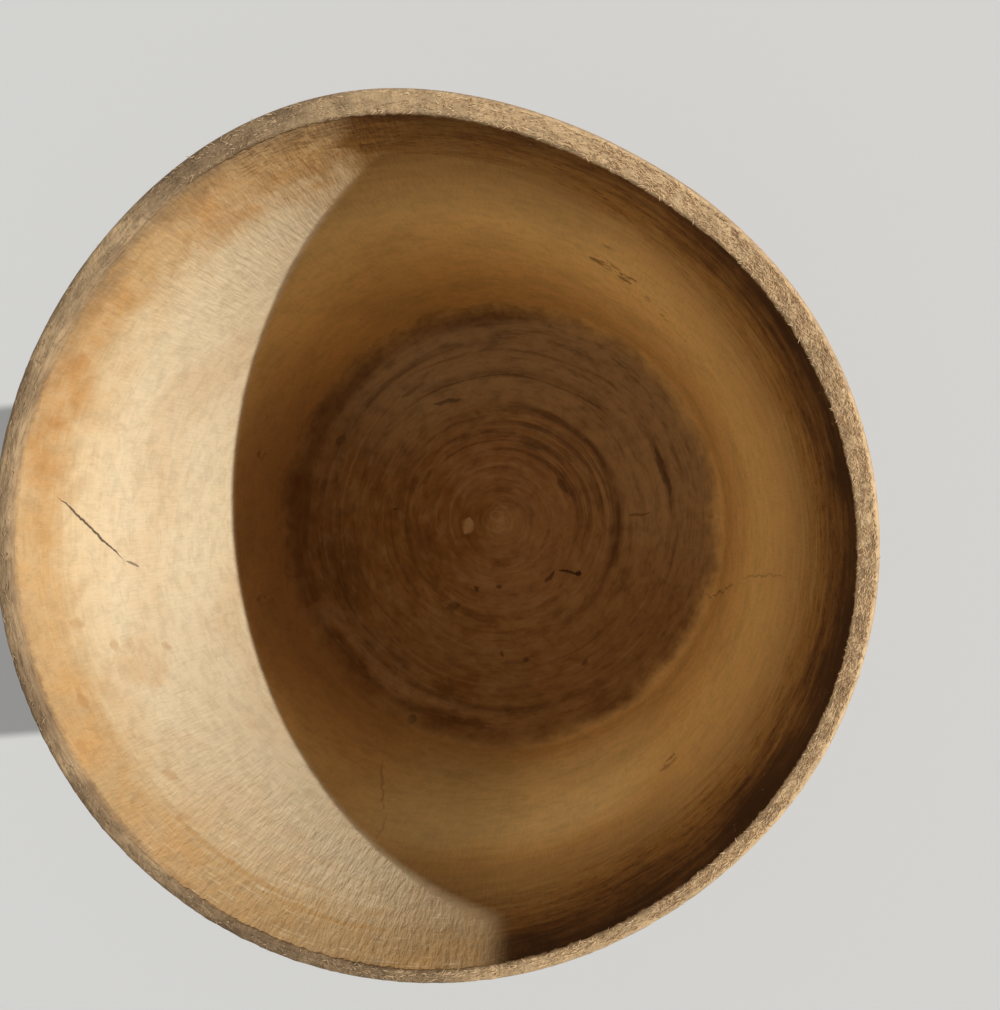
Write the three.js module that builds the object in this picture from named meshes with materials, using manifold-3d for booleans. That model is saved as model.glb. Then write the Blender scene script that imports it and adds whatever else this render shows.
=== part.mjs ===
// A turned wooden goblet: a thin, flared cup on a beaded stem and a round foot.
// Millimetres, +Z up, origin at the centre of the foot's standing ring.
// The cup, the stem and the foot are turned separately. Round tenons on the stem join them,
// and a wedge from below spreads the lower tenon inside the foot.
// Seen from above, +X points right and +Y points up, as the cup's lip was measured.

import * as THREE from 'three';
import { mergeVertices } from 'three/addons/utils/BufferGeometryUtils.js';
import Module from 'manifold-3d';

const wasm = await Module();
wasm.setup();

// Fit between pieces that seat on each other
const SEAT_GAP = 0.3;

// Foot
const FOOT_RADIUS = 34;
const FOOT_HEIGHT = 12;
const FOOT_EDGE_HEIGHT = 4.2;
const FOOT_EDGE_ROUND = 1.4;
const FOOT_ARRIS = 0.7;
const FOOT_STEP_WIDTH = 1.3;
const FOOT_STEP_HEIGHT = 0.6;
const FOOT_SEAT_MARGIN = 1.8;
const FOOT_SEAT_LIP = 1;
const STANDING_RING_WIDTH = 6.4;
const RECESS_DEPTH = 1.8;
const RECESS_SLOPE_WIDTH = 3;

// Stem, between the foot's seat and the cup's collar
const STEM_LENGTH = 30;
const STEM_WAIST_RADIUS = 5.2;
const BASE_BEAD_RADIUS = 10.6;
const BASE_BEAD_HEIGHT = 4;
const KNOP_RADIUS = 9.6;
const KNOP_HEIGHT = 8.4;
const FILLET_HEIGHT = 0.8;
const FILLET_WIDTH = 0.9;
const NECK_RADIUS = 9.6;
const NECK_HEIGHT = 1.6;

// Joints
const TENON_RADIUS = 6.4;
const MORTISE_DEPTH = 9;
const WEDGE_LENGTH = 7.6;
const WEDGE_THICK_END = 2.4;
const WEDGE_THIN_END = 0.9;

// Cup
const RIM_RADIUS = 42;
const RIM_WALL = 2.05;
const RIM_ARRIS = 0.75;
const RIM_INNER_ARRIS = 0.3;
const HOLLOW_DEPTH = 73.5;
const HOLLOW_RADIUS = 36;
const BODY_WALL = 2.9;
const FLARE_LENGTH = 9;
const HOLLOW_CORNER_RADIUS = 5.5;
const CUP_CORNER_RADIUS = 16;
const UNDERSIDE_RISE = 1;
const FLOOR_THICKNESS = 9.5;
const COLLAR_PROUD = 0.6;
const COLLAR_HEIGHT = 5.2;
const COLLAR_ARRIS = 0.6;
const COLLAR_COVE = 3.2;

// Turned detail on the cup's floor. The rings are placed by how far their middles lie in from
// the foot of the hollow's rounded corner.
const FLOOR_RING_INSETS = [1.5, 11.3];
const FLOOR_RING_WIDTH = 1.6;
const FLOOR_RING_DEPTH = 0.35;
const PIP_RADIUS = 1.5;
const PIP_HEIGHT = 0.4;

// The hollow was turned off-centre, towards this direction
const HOLLOW_OFFSET = 0.58;
const HOLLOW_OFFSET_ANGLE = THREE.MathUtils.degToRad(265);

// How the lip dried out of round: waves round the lip, each an outward swell
const LIP_WAVES = [
  { count: 2, swell: 0.36, angle: THREE.MathUtils.degToRad(-34) },
  { count: 3, swell: 0.41, angle: THREE.MathUtils.degToRad(-5) },
  { count: 4, swell: 0.23, angle: THREE.MathUtils.degToRad(10) },
  { count: 5, swell: 0.13, angle: THREE.MathUtils.degToRad(33) },
  { count: 6, swell: 0.08, angle: THREE.MathUtils.degToRad(-18) },
];
const WARP_FADE_POWER = 1.5;

// How far a cut runs past the surface that it opens
const CUT_OVERSHOOT = 1;

// Facets
const CUP_SIDES = 64;
const STEM_SIDES = 36;
const FOOT_SIDES = 48;
const WALL_STEPS = 10;
const ARRIS_STEPS = 3;
const COVE_STEPS = 6;
const CORNER_STEPS = 8;
const BEAD_STEPS = 8;

// Heights, worked out from the pieces stacked on each other
const stemBottomZ = FOOT_HEIGHT + SEAT_GAP;
const stemTopZ = stemBottomZ + STEM_LENGTH;
const collarZ = stemTopZ + SEAT_GAP;
const cupBottomZ = collarZ + COLLAR_HEIGHT;
const floorZ = cupBottomZ + FLOOR_THICKNESS;
const rimZ = floorZ + HOLLOW_DEPTH;
const mortiseRadius = TENON_RADIUS + SEAT_GAP;
const footSeatRadius = BASE_BEAD_RADIUS + FOOT_SEAT_MARGIN;
const collarRadius = NECK_RADIUS + COLLAR_PROUD;

// Points of an arc in the profile plane, both ends included. Angles are in degrees.
function arc(centreR, centreZ, radiusR, radiusZ, fromDeg, toDeg, steps) {
  const points = [];
  for (let step = 0; step <= steps; step += 1) {
    const angle = THREE.MathUtils.degToRad(THREE.MathUtils.lerp(fromDeg, toDeg, step / steps));
    const r = centreR + radiusR * Math.cos(angle);
    const z = centreZ + radiusZ * Math.sin(angle);
    points.push(new THREE.Vector2(r, z));
  }
  return points;
}

// Points of a round arc in the profile plane
function roundArc(centreR, centreZ, radius, fromDeg, toDeg, steps) {
  return arc(centreR, centreZ, radius, radius, fromDeg, toDeg, steps);
}

function point(r, z) {
  return new THREE.Vector2(r, z);
}

// One closed, welded triangle mesh from a geometry, without its empty triangles.
function welded(geometry) {
  geometry.deleteAttribute('normal');
  geometry.deleteAttribute('uv');
  const merged = mergeVertices(geometry, 1e-4);
  const corners = merged.index.array;
  const kept = [];
  for (let i = 0; i < corners.length; i += 3) {
    const [a, b, c] = [corners[i], corners[i + 1], corners[i + 2]];
    if (a !== b && b !== c && c !== a) kept.push(a, b, c);
  }
  merged.setIndex(kept);
  return merged;
}

// A turned form about the Z axis. The profile runs up the outside and down the inside.
function turned(profile, sides) {
  const geometry = new THREE.LatheGeometry(profile, sides);
  geometry.rotateX(Math.PI / 2);
  return geometry;
}

function solid(geometry) {
  const mesh = welded(geometry);
  return new wasm.Manifold(
    new wasm.Mesh({
      numProp: 3,
      vertProperties: new Float32Array(mesh.attributes.position.array),
      triVerts: new Uint32Array(mesh.index.array),
    }),
  );
}

function geometryOf(manifold) {
  const mesh = manifold.getMesh();
  const geometry = new THREE.BufferGeometry();
  geometry.setAttribute('position', new THREE.BufferAttribute(mesh.vertProperties, mesh.numProp));
  geometry.setIndex(new THREE.BufferAttribute(mesh.triVerts, 1));
  return geometry;
}

function piece(name, geometry, material) {
  geometry.computeVertexNormals();
  const mesh = new THREE.Mesh(geometry, material);
  mesh.name = name;
  return mesh;
}

// How far the flared lip stands out from the straight wall, at a depth below the rim
function flare(amount, depth) {
  return amount * Math.exp(-depth / FLARE_LENGTH);
}

function hollowRadius(depth) {
  return HOLLOW_RADIUS + flare(RIM_RADIUS - RIM_WALL - HOLLOW_RADIUS, depth);
}

function outsideRadius(depth) {
  const straight = HOLLOW_RADIUS + BODY_WALL;
  return straight + flare(RIM_RADIUS - straight, depth);
}

// Depths down a wall, close together at the lip and wide apart lower down
function wallDepths(fromDepth, toDepth) {
  const depths = [];
  for (let step = 0; step <= WALL_STEPS; step += 1) {
    depths.push(fromDepth + (toDepth - fromDepth) * (step / WALL_STEPS) ** 2);
  }
  return depths;
}

function cupOutside() {
  const cornerZ = cupBottomZ + UNDERSIDE_RISE + CUP_CORNER_RADIUS;
  const cornerR = outsideRadius(rimZ - cornerZ) - CUP_CORNER_RADIUS;
  const wall = wallDepths(RIM_ARRIS, rimZ - cornerZ)
    .reverse()
    .slice(1, -1)
    .map((depth) => point(outsideRadius(depth), rimZ - depth));
  return [
    point(0, collarZ + MORTISE_DEPTH),
    point(mortiseRadius, collarZ + MORTISE_DEPTH),
    point(mortiseRadius, collarZ),
    ...roundArc(collarRadius - COLLAR_ARRIS, collarZ + COLLAR_ARRIS, COLLAR_ARRIS, -90, 0, ARRIS_STEPS),
    ...roundArc(collarRadius + COLLAR_COVE, cupBottomZ - COLLAR_COVE, COLLAR_COVE, 180, 90, COVE_STEPS),
    ...roundArc(cornerR, cornerZ, CUP_CORNER_RADIUS, -90, 0, CORNER_STEPS),
    ...wall,
    ...roundArc(outsideRadius(RIM_ARRIS) - RIM_ARRIS, rimZ - RIM_ARRIS, RIM_ARRIS, 0, 90, ARRIS_STEPS),
  ];
}

// A shallow turned groove across the floor, from its outer edge to its inner edge
function floorRing(radius) {
  return [
    point(radius + FLOOR_RING_WIDTH / 2, floorZ),
    point(radius, floorZ - FLOOR_RING_DEPTH),
    point(radius - FLOOR_RING_WIDTH / 2, floorZ),
  ];
}

function cupHollow() {
  const cornerZ = floorZ + HOLLOW_CORNER_RADIUS;
  const cornerR = hollowRadius(rimZ - cornerZ) - HOLLOW_CORNER_RADIUS;
  const wall = wallDepths(RIM_INNER_ARRIS, rimZ - cornerZ)
    .slice(1, -1)
    .map((depth) => point(hollowRadius(depth), rimZ - depth));
  const arrisR = hollowRadius(RIM_INNER_ARRIS) + RIM_INNER_ARRIS;
  return [
    ...roundArc(arrisR, rimZ - RIM_INNER_ARRIS, RIM_INNER_ARRIS, 90, 180, ARRIS_STEPS),
    ...wall,
    ...roundArc(cornerR, cornerZ, HOLLOW_CORNER_RADIUS, 0, -90, COVE_STEPS),
    ...FLOOR_RING_INSETS.flatMap((inset) => floorRing(cornerR - inset)),
    point(PIP_RADIUS, floorZ),
    point(0, floorZ + PIP_HEIGHT),
  ];
}

// Outward swell of the dried lip at an angle, full at the rim and gone at the floor
function warp(angle, z) {
  const height = THREE.MathUtils.clamp((z - floorZ) / HOLLOW_DEPTH, 0, 1);
  const waves = LIP_WAVES.map((wave) => wave.swell * Math.cos(wave.count * (angle - wave.angle)));
  return height ** WARP_FADE_POWER * waves.reduce((sum, wave) => sum + wave, 0);
}

// The cup is one profile turned about the axis, outside and hollow together. Its hollow is
// then set off-centre, and the whole wall takes the warp of the lip.
function bowlGeometry() {
  const outside = cupOutside();
  const hollow = cupHollow();
  const profile = [...outside, ...hollow];
  const geometry = turned(profile, CUP_SIDES);
  const position = geometry.attributes.position;
  for (let i = 0; i < position.count; i += 1) {
    const [x, y, z] = [position.getX(i), position.getY(i), position.getZ(i)];
    const radius = Math.hypot(x, y);
    const angle = Math.atan2(y, x);
    const inHollow = i % profile.length >= outside.length;
    const offset = inHollow ? HOLLOW_OFFSET : 0;
    const swollen = radius > 0 ? radius + warp(angle, z) : 0;
    position.setX(i, swollen * Math.cos(angle) + offset * Math.cos(HOLLOW_OFFSET_ANGLE));
    position.setY(i, swollen * Math.sin(angle) + offset * Math.sin(HOLLOW_OFFSET_ANGLE));
  }
  return welded(geometry);
}

// A half-round bead between two heights, between fillets of the given radius
function bead(radius, rootRadius, bottomZ, topZ) {
  const half = (topZ - bottomZ) / 2;
  return arc(rootRadius, bottomZ + half, radius - rootRadius, half, -90, 90, BEAD_STEPS);
}

// A hollow curve that draws in to the stem's waist on the way up
function coveIn(radius, bottomZ, topZ) {
  return arc(radius, topZ, radius - STEM_WAIST_RADIUS, topZ - bottomZ, 270, 180, COVE_STEPS);
}

// A hollow curve that spreads from the stem's waist on the way up
function coveOut(radius, bottomZ, topZ) {
  return arc(radius, bottomZ, radius - STEM_WAIST_RADIUS, topZ - bottomZ, 180, 90, COVE_STEPS);
}

function stemProfile() {
  const beadTopZ = stemBottomZ + BASE_BEAD_HEIGHT;
  const neckZ = stemTopZ - NECK_HEIGHT;
  const coveHeight = (neckZ - beadTopZ - KNOP_HEIGHT - 3 * FILLET_HEIGHT) / 2;
  const lowerCoveZ = beadTopZ + FILLET_HEIGHT;
  const knopZ = lowerCoveZ + coveHeight + FILLET_HEIGHT;
  const upperCoveZ = knopZ + KNOP_HEIGHT + FILLET_HEIGHT;
  const beadRootR = BASE_BEAD_RADIUS - BASE_BEAD_HEIGHT / 2;
  const filletR = STEM_WAIST_RADIUS + FILLET_WIDTH;
  return [
    point(0, RECESS_DEPTH),
    point(TENON_RADIUS, RECESS_DEPTH),
    point(TENON_RADIUS, stemBottomZ),
    ...bead(BASE_BEAD_RADIUS, beadRootR, stemBottomZ, beadTopZ),
    ...coveIn(beadRootR, lowerCoveZ, lowerCoveZ + coveHeight),
    point(filletR, knopZ - FILLET_HEIGHT),
    ...bead(KNOP_RADIUS, filletR, knopZ, knopZ + KNOP_HEIGHT),
    point(filletR, upperCoveZ),
    ...coveOut(NECK_RADIUS, upperCoveZ, neckZ),
    point(NECK_RADIUS, stemTopZ),
    point(TENON_RADIUS, stemTopZ),
    point(TENON_RADIUS, collarZ + MORTISE_DEPTH - SEAT_GAP),
    point(0, collarZ + MORTISE_DEPTH - SEAT_GAP),
  ];
}

// A tapered block that stands on the tenon's end and runs right across it
function taperedBlock(thickEnd, thinEnd, length, overshoot) {
  const reach = TENON_RADIUS + overshoot;
  const growth = (thickEnd - thinEnd) / length;
  const bottom = thickEnd / 2 + (growth * overshoot) / 2;
  const outline = new THREE.Shape([
    point(-bottom, RECESS_DEPTH - overshoot),
    point(bottom, RECESS_DEPTH - overshoot),
    point(thinEnd / 2, RECESS_DEPTH + length),
    point(-thinEnd / 2, RECESS_DEPTH + length),
  ]);
  const geometry = new THREE.ExtrudeGeometry(outline, { depth: 2 * reach, bevelEnabled: false });
  geometry.translate(0, 0, -reach);
  geometry.rotateX(Math.PI / 2);
  return geometry;
}

function stemGeometry() {
  const thickEnd = WEDGE_THICK_END + 2 * SEAT_GAP;
  const thinEnd = WEDGE_THIN_END + 2 * SEAT_GAP;
  const kerf = taperedBlock(thickEnd, thinEnd, WEDGE_LENGTH + SEAT_GAP, CUT_OVERSHOOT);
  return geometryOf(solid(turned(stemProfile(), STEM_SIDES)).subtract(solid(kerf)));
}

function wedgeGeometry() {
  const block = solid(taperedBlock(WEDGE_THICK_END, WEDGE_THIN_END, WEDGE_LENGTH, 0));
  const outline = [point(0, 0), point(TENON_RADIUS, 0), point(TENON_RADIUS, collarZ), point(0, collarZ)];
  const tenon = turned(outline, STEM_SIDES);
  return geometryOf(block.intersect(solid(tenon)));
}

// The foot's profile: standing ring, rounded edge, step, hollow sweep up to the stem's seat,
// then down the bore and out over the recess underneath.
function footProfile() {
  const sweepOuterR = FOOT_RADIUS - FOOT_EDGE_ROUND - FOOT_STEP_WIDTH;
  const sweepZ = FOOT_EDGE_HEIGHT + FOOT_STEP_HEIGHT;
  const sweepTopZ = FOOT_HEIGHT - FOOT_SEAT_LIP;
  const ringR = FOOT_RADIUS - STANDING_RING_WIDTH;
  const edgeR = FOOT_RADIUS - FOOT_EDGE_ROUND;
  const edgeZ = FOOT_EDGE_HEIGHT - FOOT_EDGE_ROUND;
  const sweep = arc(
    sweepOuterR,
    sweepTopZ,
    sweepOuterR - footSeatRadius,
    sweepTopZ - sweepZ,
    270,
    180,
    CORNER_STEPS,
  );
  const start = point(ringR, 0);
  return [
    start,
    ...roundArc(FOOT_RADIUS - FOOT_ARRIS, FOOT_ARRIS, FOOT_ARRIS, -90, 0, ARRIS_STEPS),
    ...roundArc(edgeR, edgeZ, FOOT_EDGE_ROUND, 0, 90, ARRIS_STEPS),
    point(sweepOuterR, FOOT_EDGE_HEIGHT),
    ...sweep,
    point(footSeatRadius, FOOT_HEIGHT),
    point(mortiseRadius, FOOT_HEIGHT),
    point(mortiseRadius, RECESS_DEPTH),
    point(ringR - RECESS_SLOPE_WIDTH, RECESS_DEPTH),
    start.clone(),
  ];
}

function wood(color, roughness) {
  return new THREE.MeshStandardMaterial({ color, roughness, metalness: 0 });
}

const goblet = new THREE.Group();
goblet.add(piece('bowl', bowlGeometry(), wood('#b98a55', 0.7)));
goblet.add(piece('stem', stemGeometry(), wood('#b3845a', 0.5)));
goblet.add(piece('foot', welded(turned(footProfile(), FOOT_SIDES)), wood('#b08256', 0.5)));
goblet.add(piece('foot_wedge', wedgeGeometry(), wood('#7a5233', 0.6)));

export default goblet;
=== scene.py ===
"""Looks of a turned wooden goblet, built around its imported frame.

The cup, the stem and the foot are turned from their profiles, the lip's fuzz is modelled as
slivers of wood, and every finish is made of shader nodes. Lengths are in metres.
"""

import logging
import math
import random
from collections.abc import Callable
from dataclasses import dataclass
from enum import Enum
from functools import partial, reduce

import bpy
import numpy as np
from mathutils import Matrix, Vector


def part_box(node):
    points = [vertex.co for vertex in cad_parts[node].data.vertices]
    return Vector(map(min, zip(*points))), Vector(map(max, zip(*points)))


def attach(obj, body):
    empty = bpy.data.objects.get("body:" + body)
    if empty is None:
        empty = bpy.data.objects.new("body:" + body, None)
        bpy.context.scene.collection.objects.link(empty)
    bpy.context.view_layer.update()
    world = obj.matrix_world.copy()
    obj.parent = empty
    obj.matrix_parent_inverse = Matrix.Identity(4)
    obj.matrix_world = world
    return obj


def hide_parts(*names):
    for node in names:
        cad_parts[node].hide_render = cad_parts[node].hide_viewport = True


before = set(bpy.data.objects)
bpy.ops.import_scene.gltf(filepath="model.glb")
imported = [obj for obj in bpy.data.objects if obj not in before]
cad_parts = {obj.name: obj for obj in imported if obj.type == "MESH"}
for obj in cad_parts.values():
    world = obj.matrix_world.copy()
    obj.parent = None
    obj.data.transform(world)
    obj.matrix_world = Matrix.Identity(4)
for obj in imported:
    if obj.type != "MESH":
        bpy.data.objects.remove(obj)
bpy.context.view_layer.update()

BODY = "root"
MM = 0.001
TINY = 0.001 * MM
FULL_TURN = math.tau
LEVEL = (1.0, 1.0, 0.0)
LIGHT_BEARING = 6.0
LIGHT_ELEVATION = 32.0
GLUE_GAP = 0.3 * MM

Colour = tuple[float, float, float]
Tones = tuple[tuple[float, Colour], ...]
Reach = tuple[float, float]
Point = tuple[float, float]
Profile = list[Point]
Socket = bpy.types.NodeSocket
Sockets = bpy.types.bpy_prop_collection

log = logging.getLogger("goblet")


# Outlines


def arc(centre: Point, radii: Point, span: Point, steps: int) -> Profile:
    """Points of an elliptic arc in the profile plane, both ends included.

    Args:
        centre: Radius and height of the arc's centre.
        radii: Half axes along the radius and along the height.
        span: First and last angle, in degrees.
        steps: Number of straight steps.

    Returns:
        The arc's points as pairs of radius and height.
    """
    points = []
    for step in range(steps + 1):
        angle = math.radians(span[0] + (span[1] - span[0]) * step / steps)
        across, up = radii[0] * math.cos(angle), radii[1] * math.sin(angle)
        points.append((centre[0] + across, centre[1] + up))
    return points


def run(start: Point, end: Point, steps: int) -> Profile:
    """Points of a straight run, its start left out and its end included."""
    return [
        tuple(a + (b - a) * step / steps for a, b in zip(start, end))
        for step in range(1, steps + 1)
    ]


def eased(profile: Profile, radius: float, steps: int = 3, least_turn: float = 25.0) -> Profile:
    """Rounds the sharp corners of a profile, as sanding does.

    Args:
        profile: The points, which may close on themselves.
        radius: How far from a corner the rounding starts.
        steps: Straight steps of each rounding.
        least_turn: Corners that turn by less, in degrees, are left alone.

    Returns:
        The profile with its sharp corners rounded.
    """
    softened = [profile[0]]
    for before, corner, after in zip(profile, profile[1:], profile[2:]):
        here = Vector(corner)
        back, ahead = Vector(before) - here, Vector(after) - here
        turn = math.degrees(math.pi - back.angle(ahead))
        if turn < least_turn or min(corner) <= 0.0:
            softened.append(corner)
            continue
        start = here + back.normalized() * min(radius, back.length * 0.4)
        end = here + ahead.normalized() * min(radius, ahead.length * 0.4)
        for step in range(steps + 1):
            share = step / steps
            point = start * (1 - share) ** 2 + here * 2 * share * (1 - share) + end * share**2
            softened.append(tuple(point))
    return [*softened, profile[-1]]


# Turning


def turn_profile(name: str, profile: Profile, sides: int) -> bpy.types.Object:
    """Turns a profile about the Z axis into one closed piece.

    Args:
        name: The piece's name.
        profile: Points of radius and height, from axis to axis or closed on themselves.
        sides: Number of steps round the axis.

    Returns:
        The turned piece, with its faces pointing outwards.
    """
    bpy.ops.object.select_all(action="DESELECT")
    bpy.ops.mesh.primitive_plane_add(size=MM, location=(profile[0][0], 0.0, profile[0][1]))
    piece = bpy.context.object
    piece.name = piece.data.name = name
    bpy.ops.object.transform_apply(location=True, rotation=True, scale=True)
    bpy.ops.object.mode_set(mode="EDIT")
    bpy.ops.mesh.select_mode(type="VERT")
    bpy.ops.mesh.merge(type="CENTER")
    for (from_r, from_z), (to_r, to_z) in zip(profile, profile[1:]):
        bpy.ops.mesh.extrude_vertices_move(
            TRANSFORM_OT_translate={"value": (to_r - from_r, 0.0, to_z - from_z)}
        )
    bpy.ops.mesh.select_all(action="SELECT")
    bpy.ops.mesh.spin(steps=sides, angle=FULL_TURN, center=(0.0, 0.0, 0.0), axis=(0.0, 0.0, 1.0))
    bpy.ops.mesh.select_all(action="SELECT")
    bpy.ops.mesh.remove_doubles(threshold=TINY)
    bpy.ops.mesh.normals_make_consistent(inside=False)
    bpy.ops.object.mode_set(mode="OBJECT")
    return piece


def points_of(piece: bpy.types.Object) -> np.ndarray:
    """The piece's vertices as rows of x, y and z."""
    flat = np.empty(len(piece.data.vertices) * 3, np.float32)
    piece.data.vertices.foreach_get("co", flat)
    return flat.reshape(-1, 3).astype(float)


def move_points(piece: bpy.types.Object, points: np.ndarray) -> None:
    """Puts the piece's vertices at the given rows of x, y and z."""
    piece.data.vertices.foreach_set("co", points.astype(np.float32).ravel())
    piece.data.update()


def write_attribute(piece: bpy.types.Object, name: str, values: np.ndarray) -> None:
    """Stores one number for each vertex, which the piece's material reads by name."""
    attribute = piece.data.attributes.new(name, "FLOAT", "POINT")
    attribute.data.foreach_set("value", values.astype(np.float32))


def write_wear(piece: bpy.types.Object, reach: float) -> None:
    """Stores how far each vertex stands on an outer edge, or lies in a groove.

    Args:
        piece: The finished piece.
        reach: Radius of curvature that counts as a full edge.
    """
    points = points_of(piece)
    normals = np.empty(len(points) * 3, np.float32)
    piece.data.vertices.foreach_get("normal", normals)
    normals = normals.reshape(-1, 3)
    ends = np.empty(len(piece.data.edges) * 2, np.int32)
    piece.data.edges.foreach_get("vertices", ends)
    ends = ends.reshape(-1, 2)
    bend, count = np.zeros(len(points)), np.zeros(len(points))
    for here, there in ((ends[:, 0], ends[:, 1]), (ends[:, 1], ends[:, 0])):
        span = points[there] - points[here]
        length_squared = np.maximum((span**2).sum(1), 1e-12)
        curve = -2.0 * (span * normals[here]).sum(1) / length_squared
        np.add.at(bend, here, curve * (length_squared > (0.05 * MM) ** 2))
        np.add.at(count, here, 1.0)
    bend = bend / np.maximum(count, 1.0) * reach
    write_attribute(piece, "edge", np.clip(bend, 0.0, 1.0))
    write_attribute(piece, "groove", np.clip(-bend, 0.0, 1.0))


def weigh(piece: bpy.types.Object, name: str, weights: np.ndarray) -> None:
    """Adds a vertex group that limits a modifier to where its weights are above zero."""
    group = piece.vertex_groups.new(name=name)
    for index in np.nonzero(weights > 0.0)[0]:
        group.add([int(index)], float(weights[index]), "REPLACE")


def unevenness(
    piece: bpy.types.Object, name: str, size: float, strength: float, group: str = ""
) -> None:
    """Displaces a piece along its normals by soft noise, and applies the modifier.

    Args:
        piece: The piece to displace.
        name: Name of the noise.
        size: Size of the noise's lumps.
        strength: Full height from the deepest to the highest point.
        group: Vertex group that limits it, or none for the whole piece.
    """
    texture = bpy.data.textures.new(name, "CLOUDS")
    texture.noise_scale = size
    texture.noise_depth = 2
    displace = piece.modifiers.new(name, "DISPLACE")
    displace.texture = texture
    displace.texture_coords = "LOCAL"
    displace.strength = strength
    displace.mid_level = 0.5
    displace.vertex_group = group
    select_only(piece)
    bpy.ops.object.modifier_apply(modifier=displace.name)


def select_only(piece: bpy.types.Object) -> None:
    """Makes the piece the only one selected, and the active one."""
    bpy.ops.object.select_all(action="DESELECT")
    piece.select_set(True)
    bpy.context.view_layer.objects.active = piece


def pick(piece: bpy.types.Object, kind: str, chosen: Callable[..., bool]) -> None:
    """Goes to edit mode with only some parts of the active piece selected.

    Args:
        piece: The active piece.
        kind: FACE for its faces or VERT for its vertices.
        chosen: Says whether a face or vertex is selected.
    """
    bpy.ops.object.mode_set(mode="EDIT")
    bpy.ops.mesh.select_mode(type=kind)
    bpy.ops.mesh.select_all(action="DESELECT")
    bpy.ops.object.mode_set(mode="OBJECT")
    for part in piece.data.polygons if kind == "FACE" else piece.data.vertices:
        part.select = chosen(part)
    bpy.ops.object.mode_set(mode="EDIT")


def smooth(piece: bpy.types.Object, angle: float = 50.0) -> None:
    """Shades a piece smooth where its faces meet at less than the angle in degrees."""
    select_only(piece)
    bpy.ops.object.shade_smooth_by_angle(angle=math.radians(angle))


# Shader wiring


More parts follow.
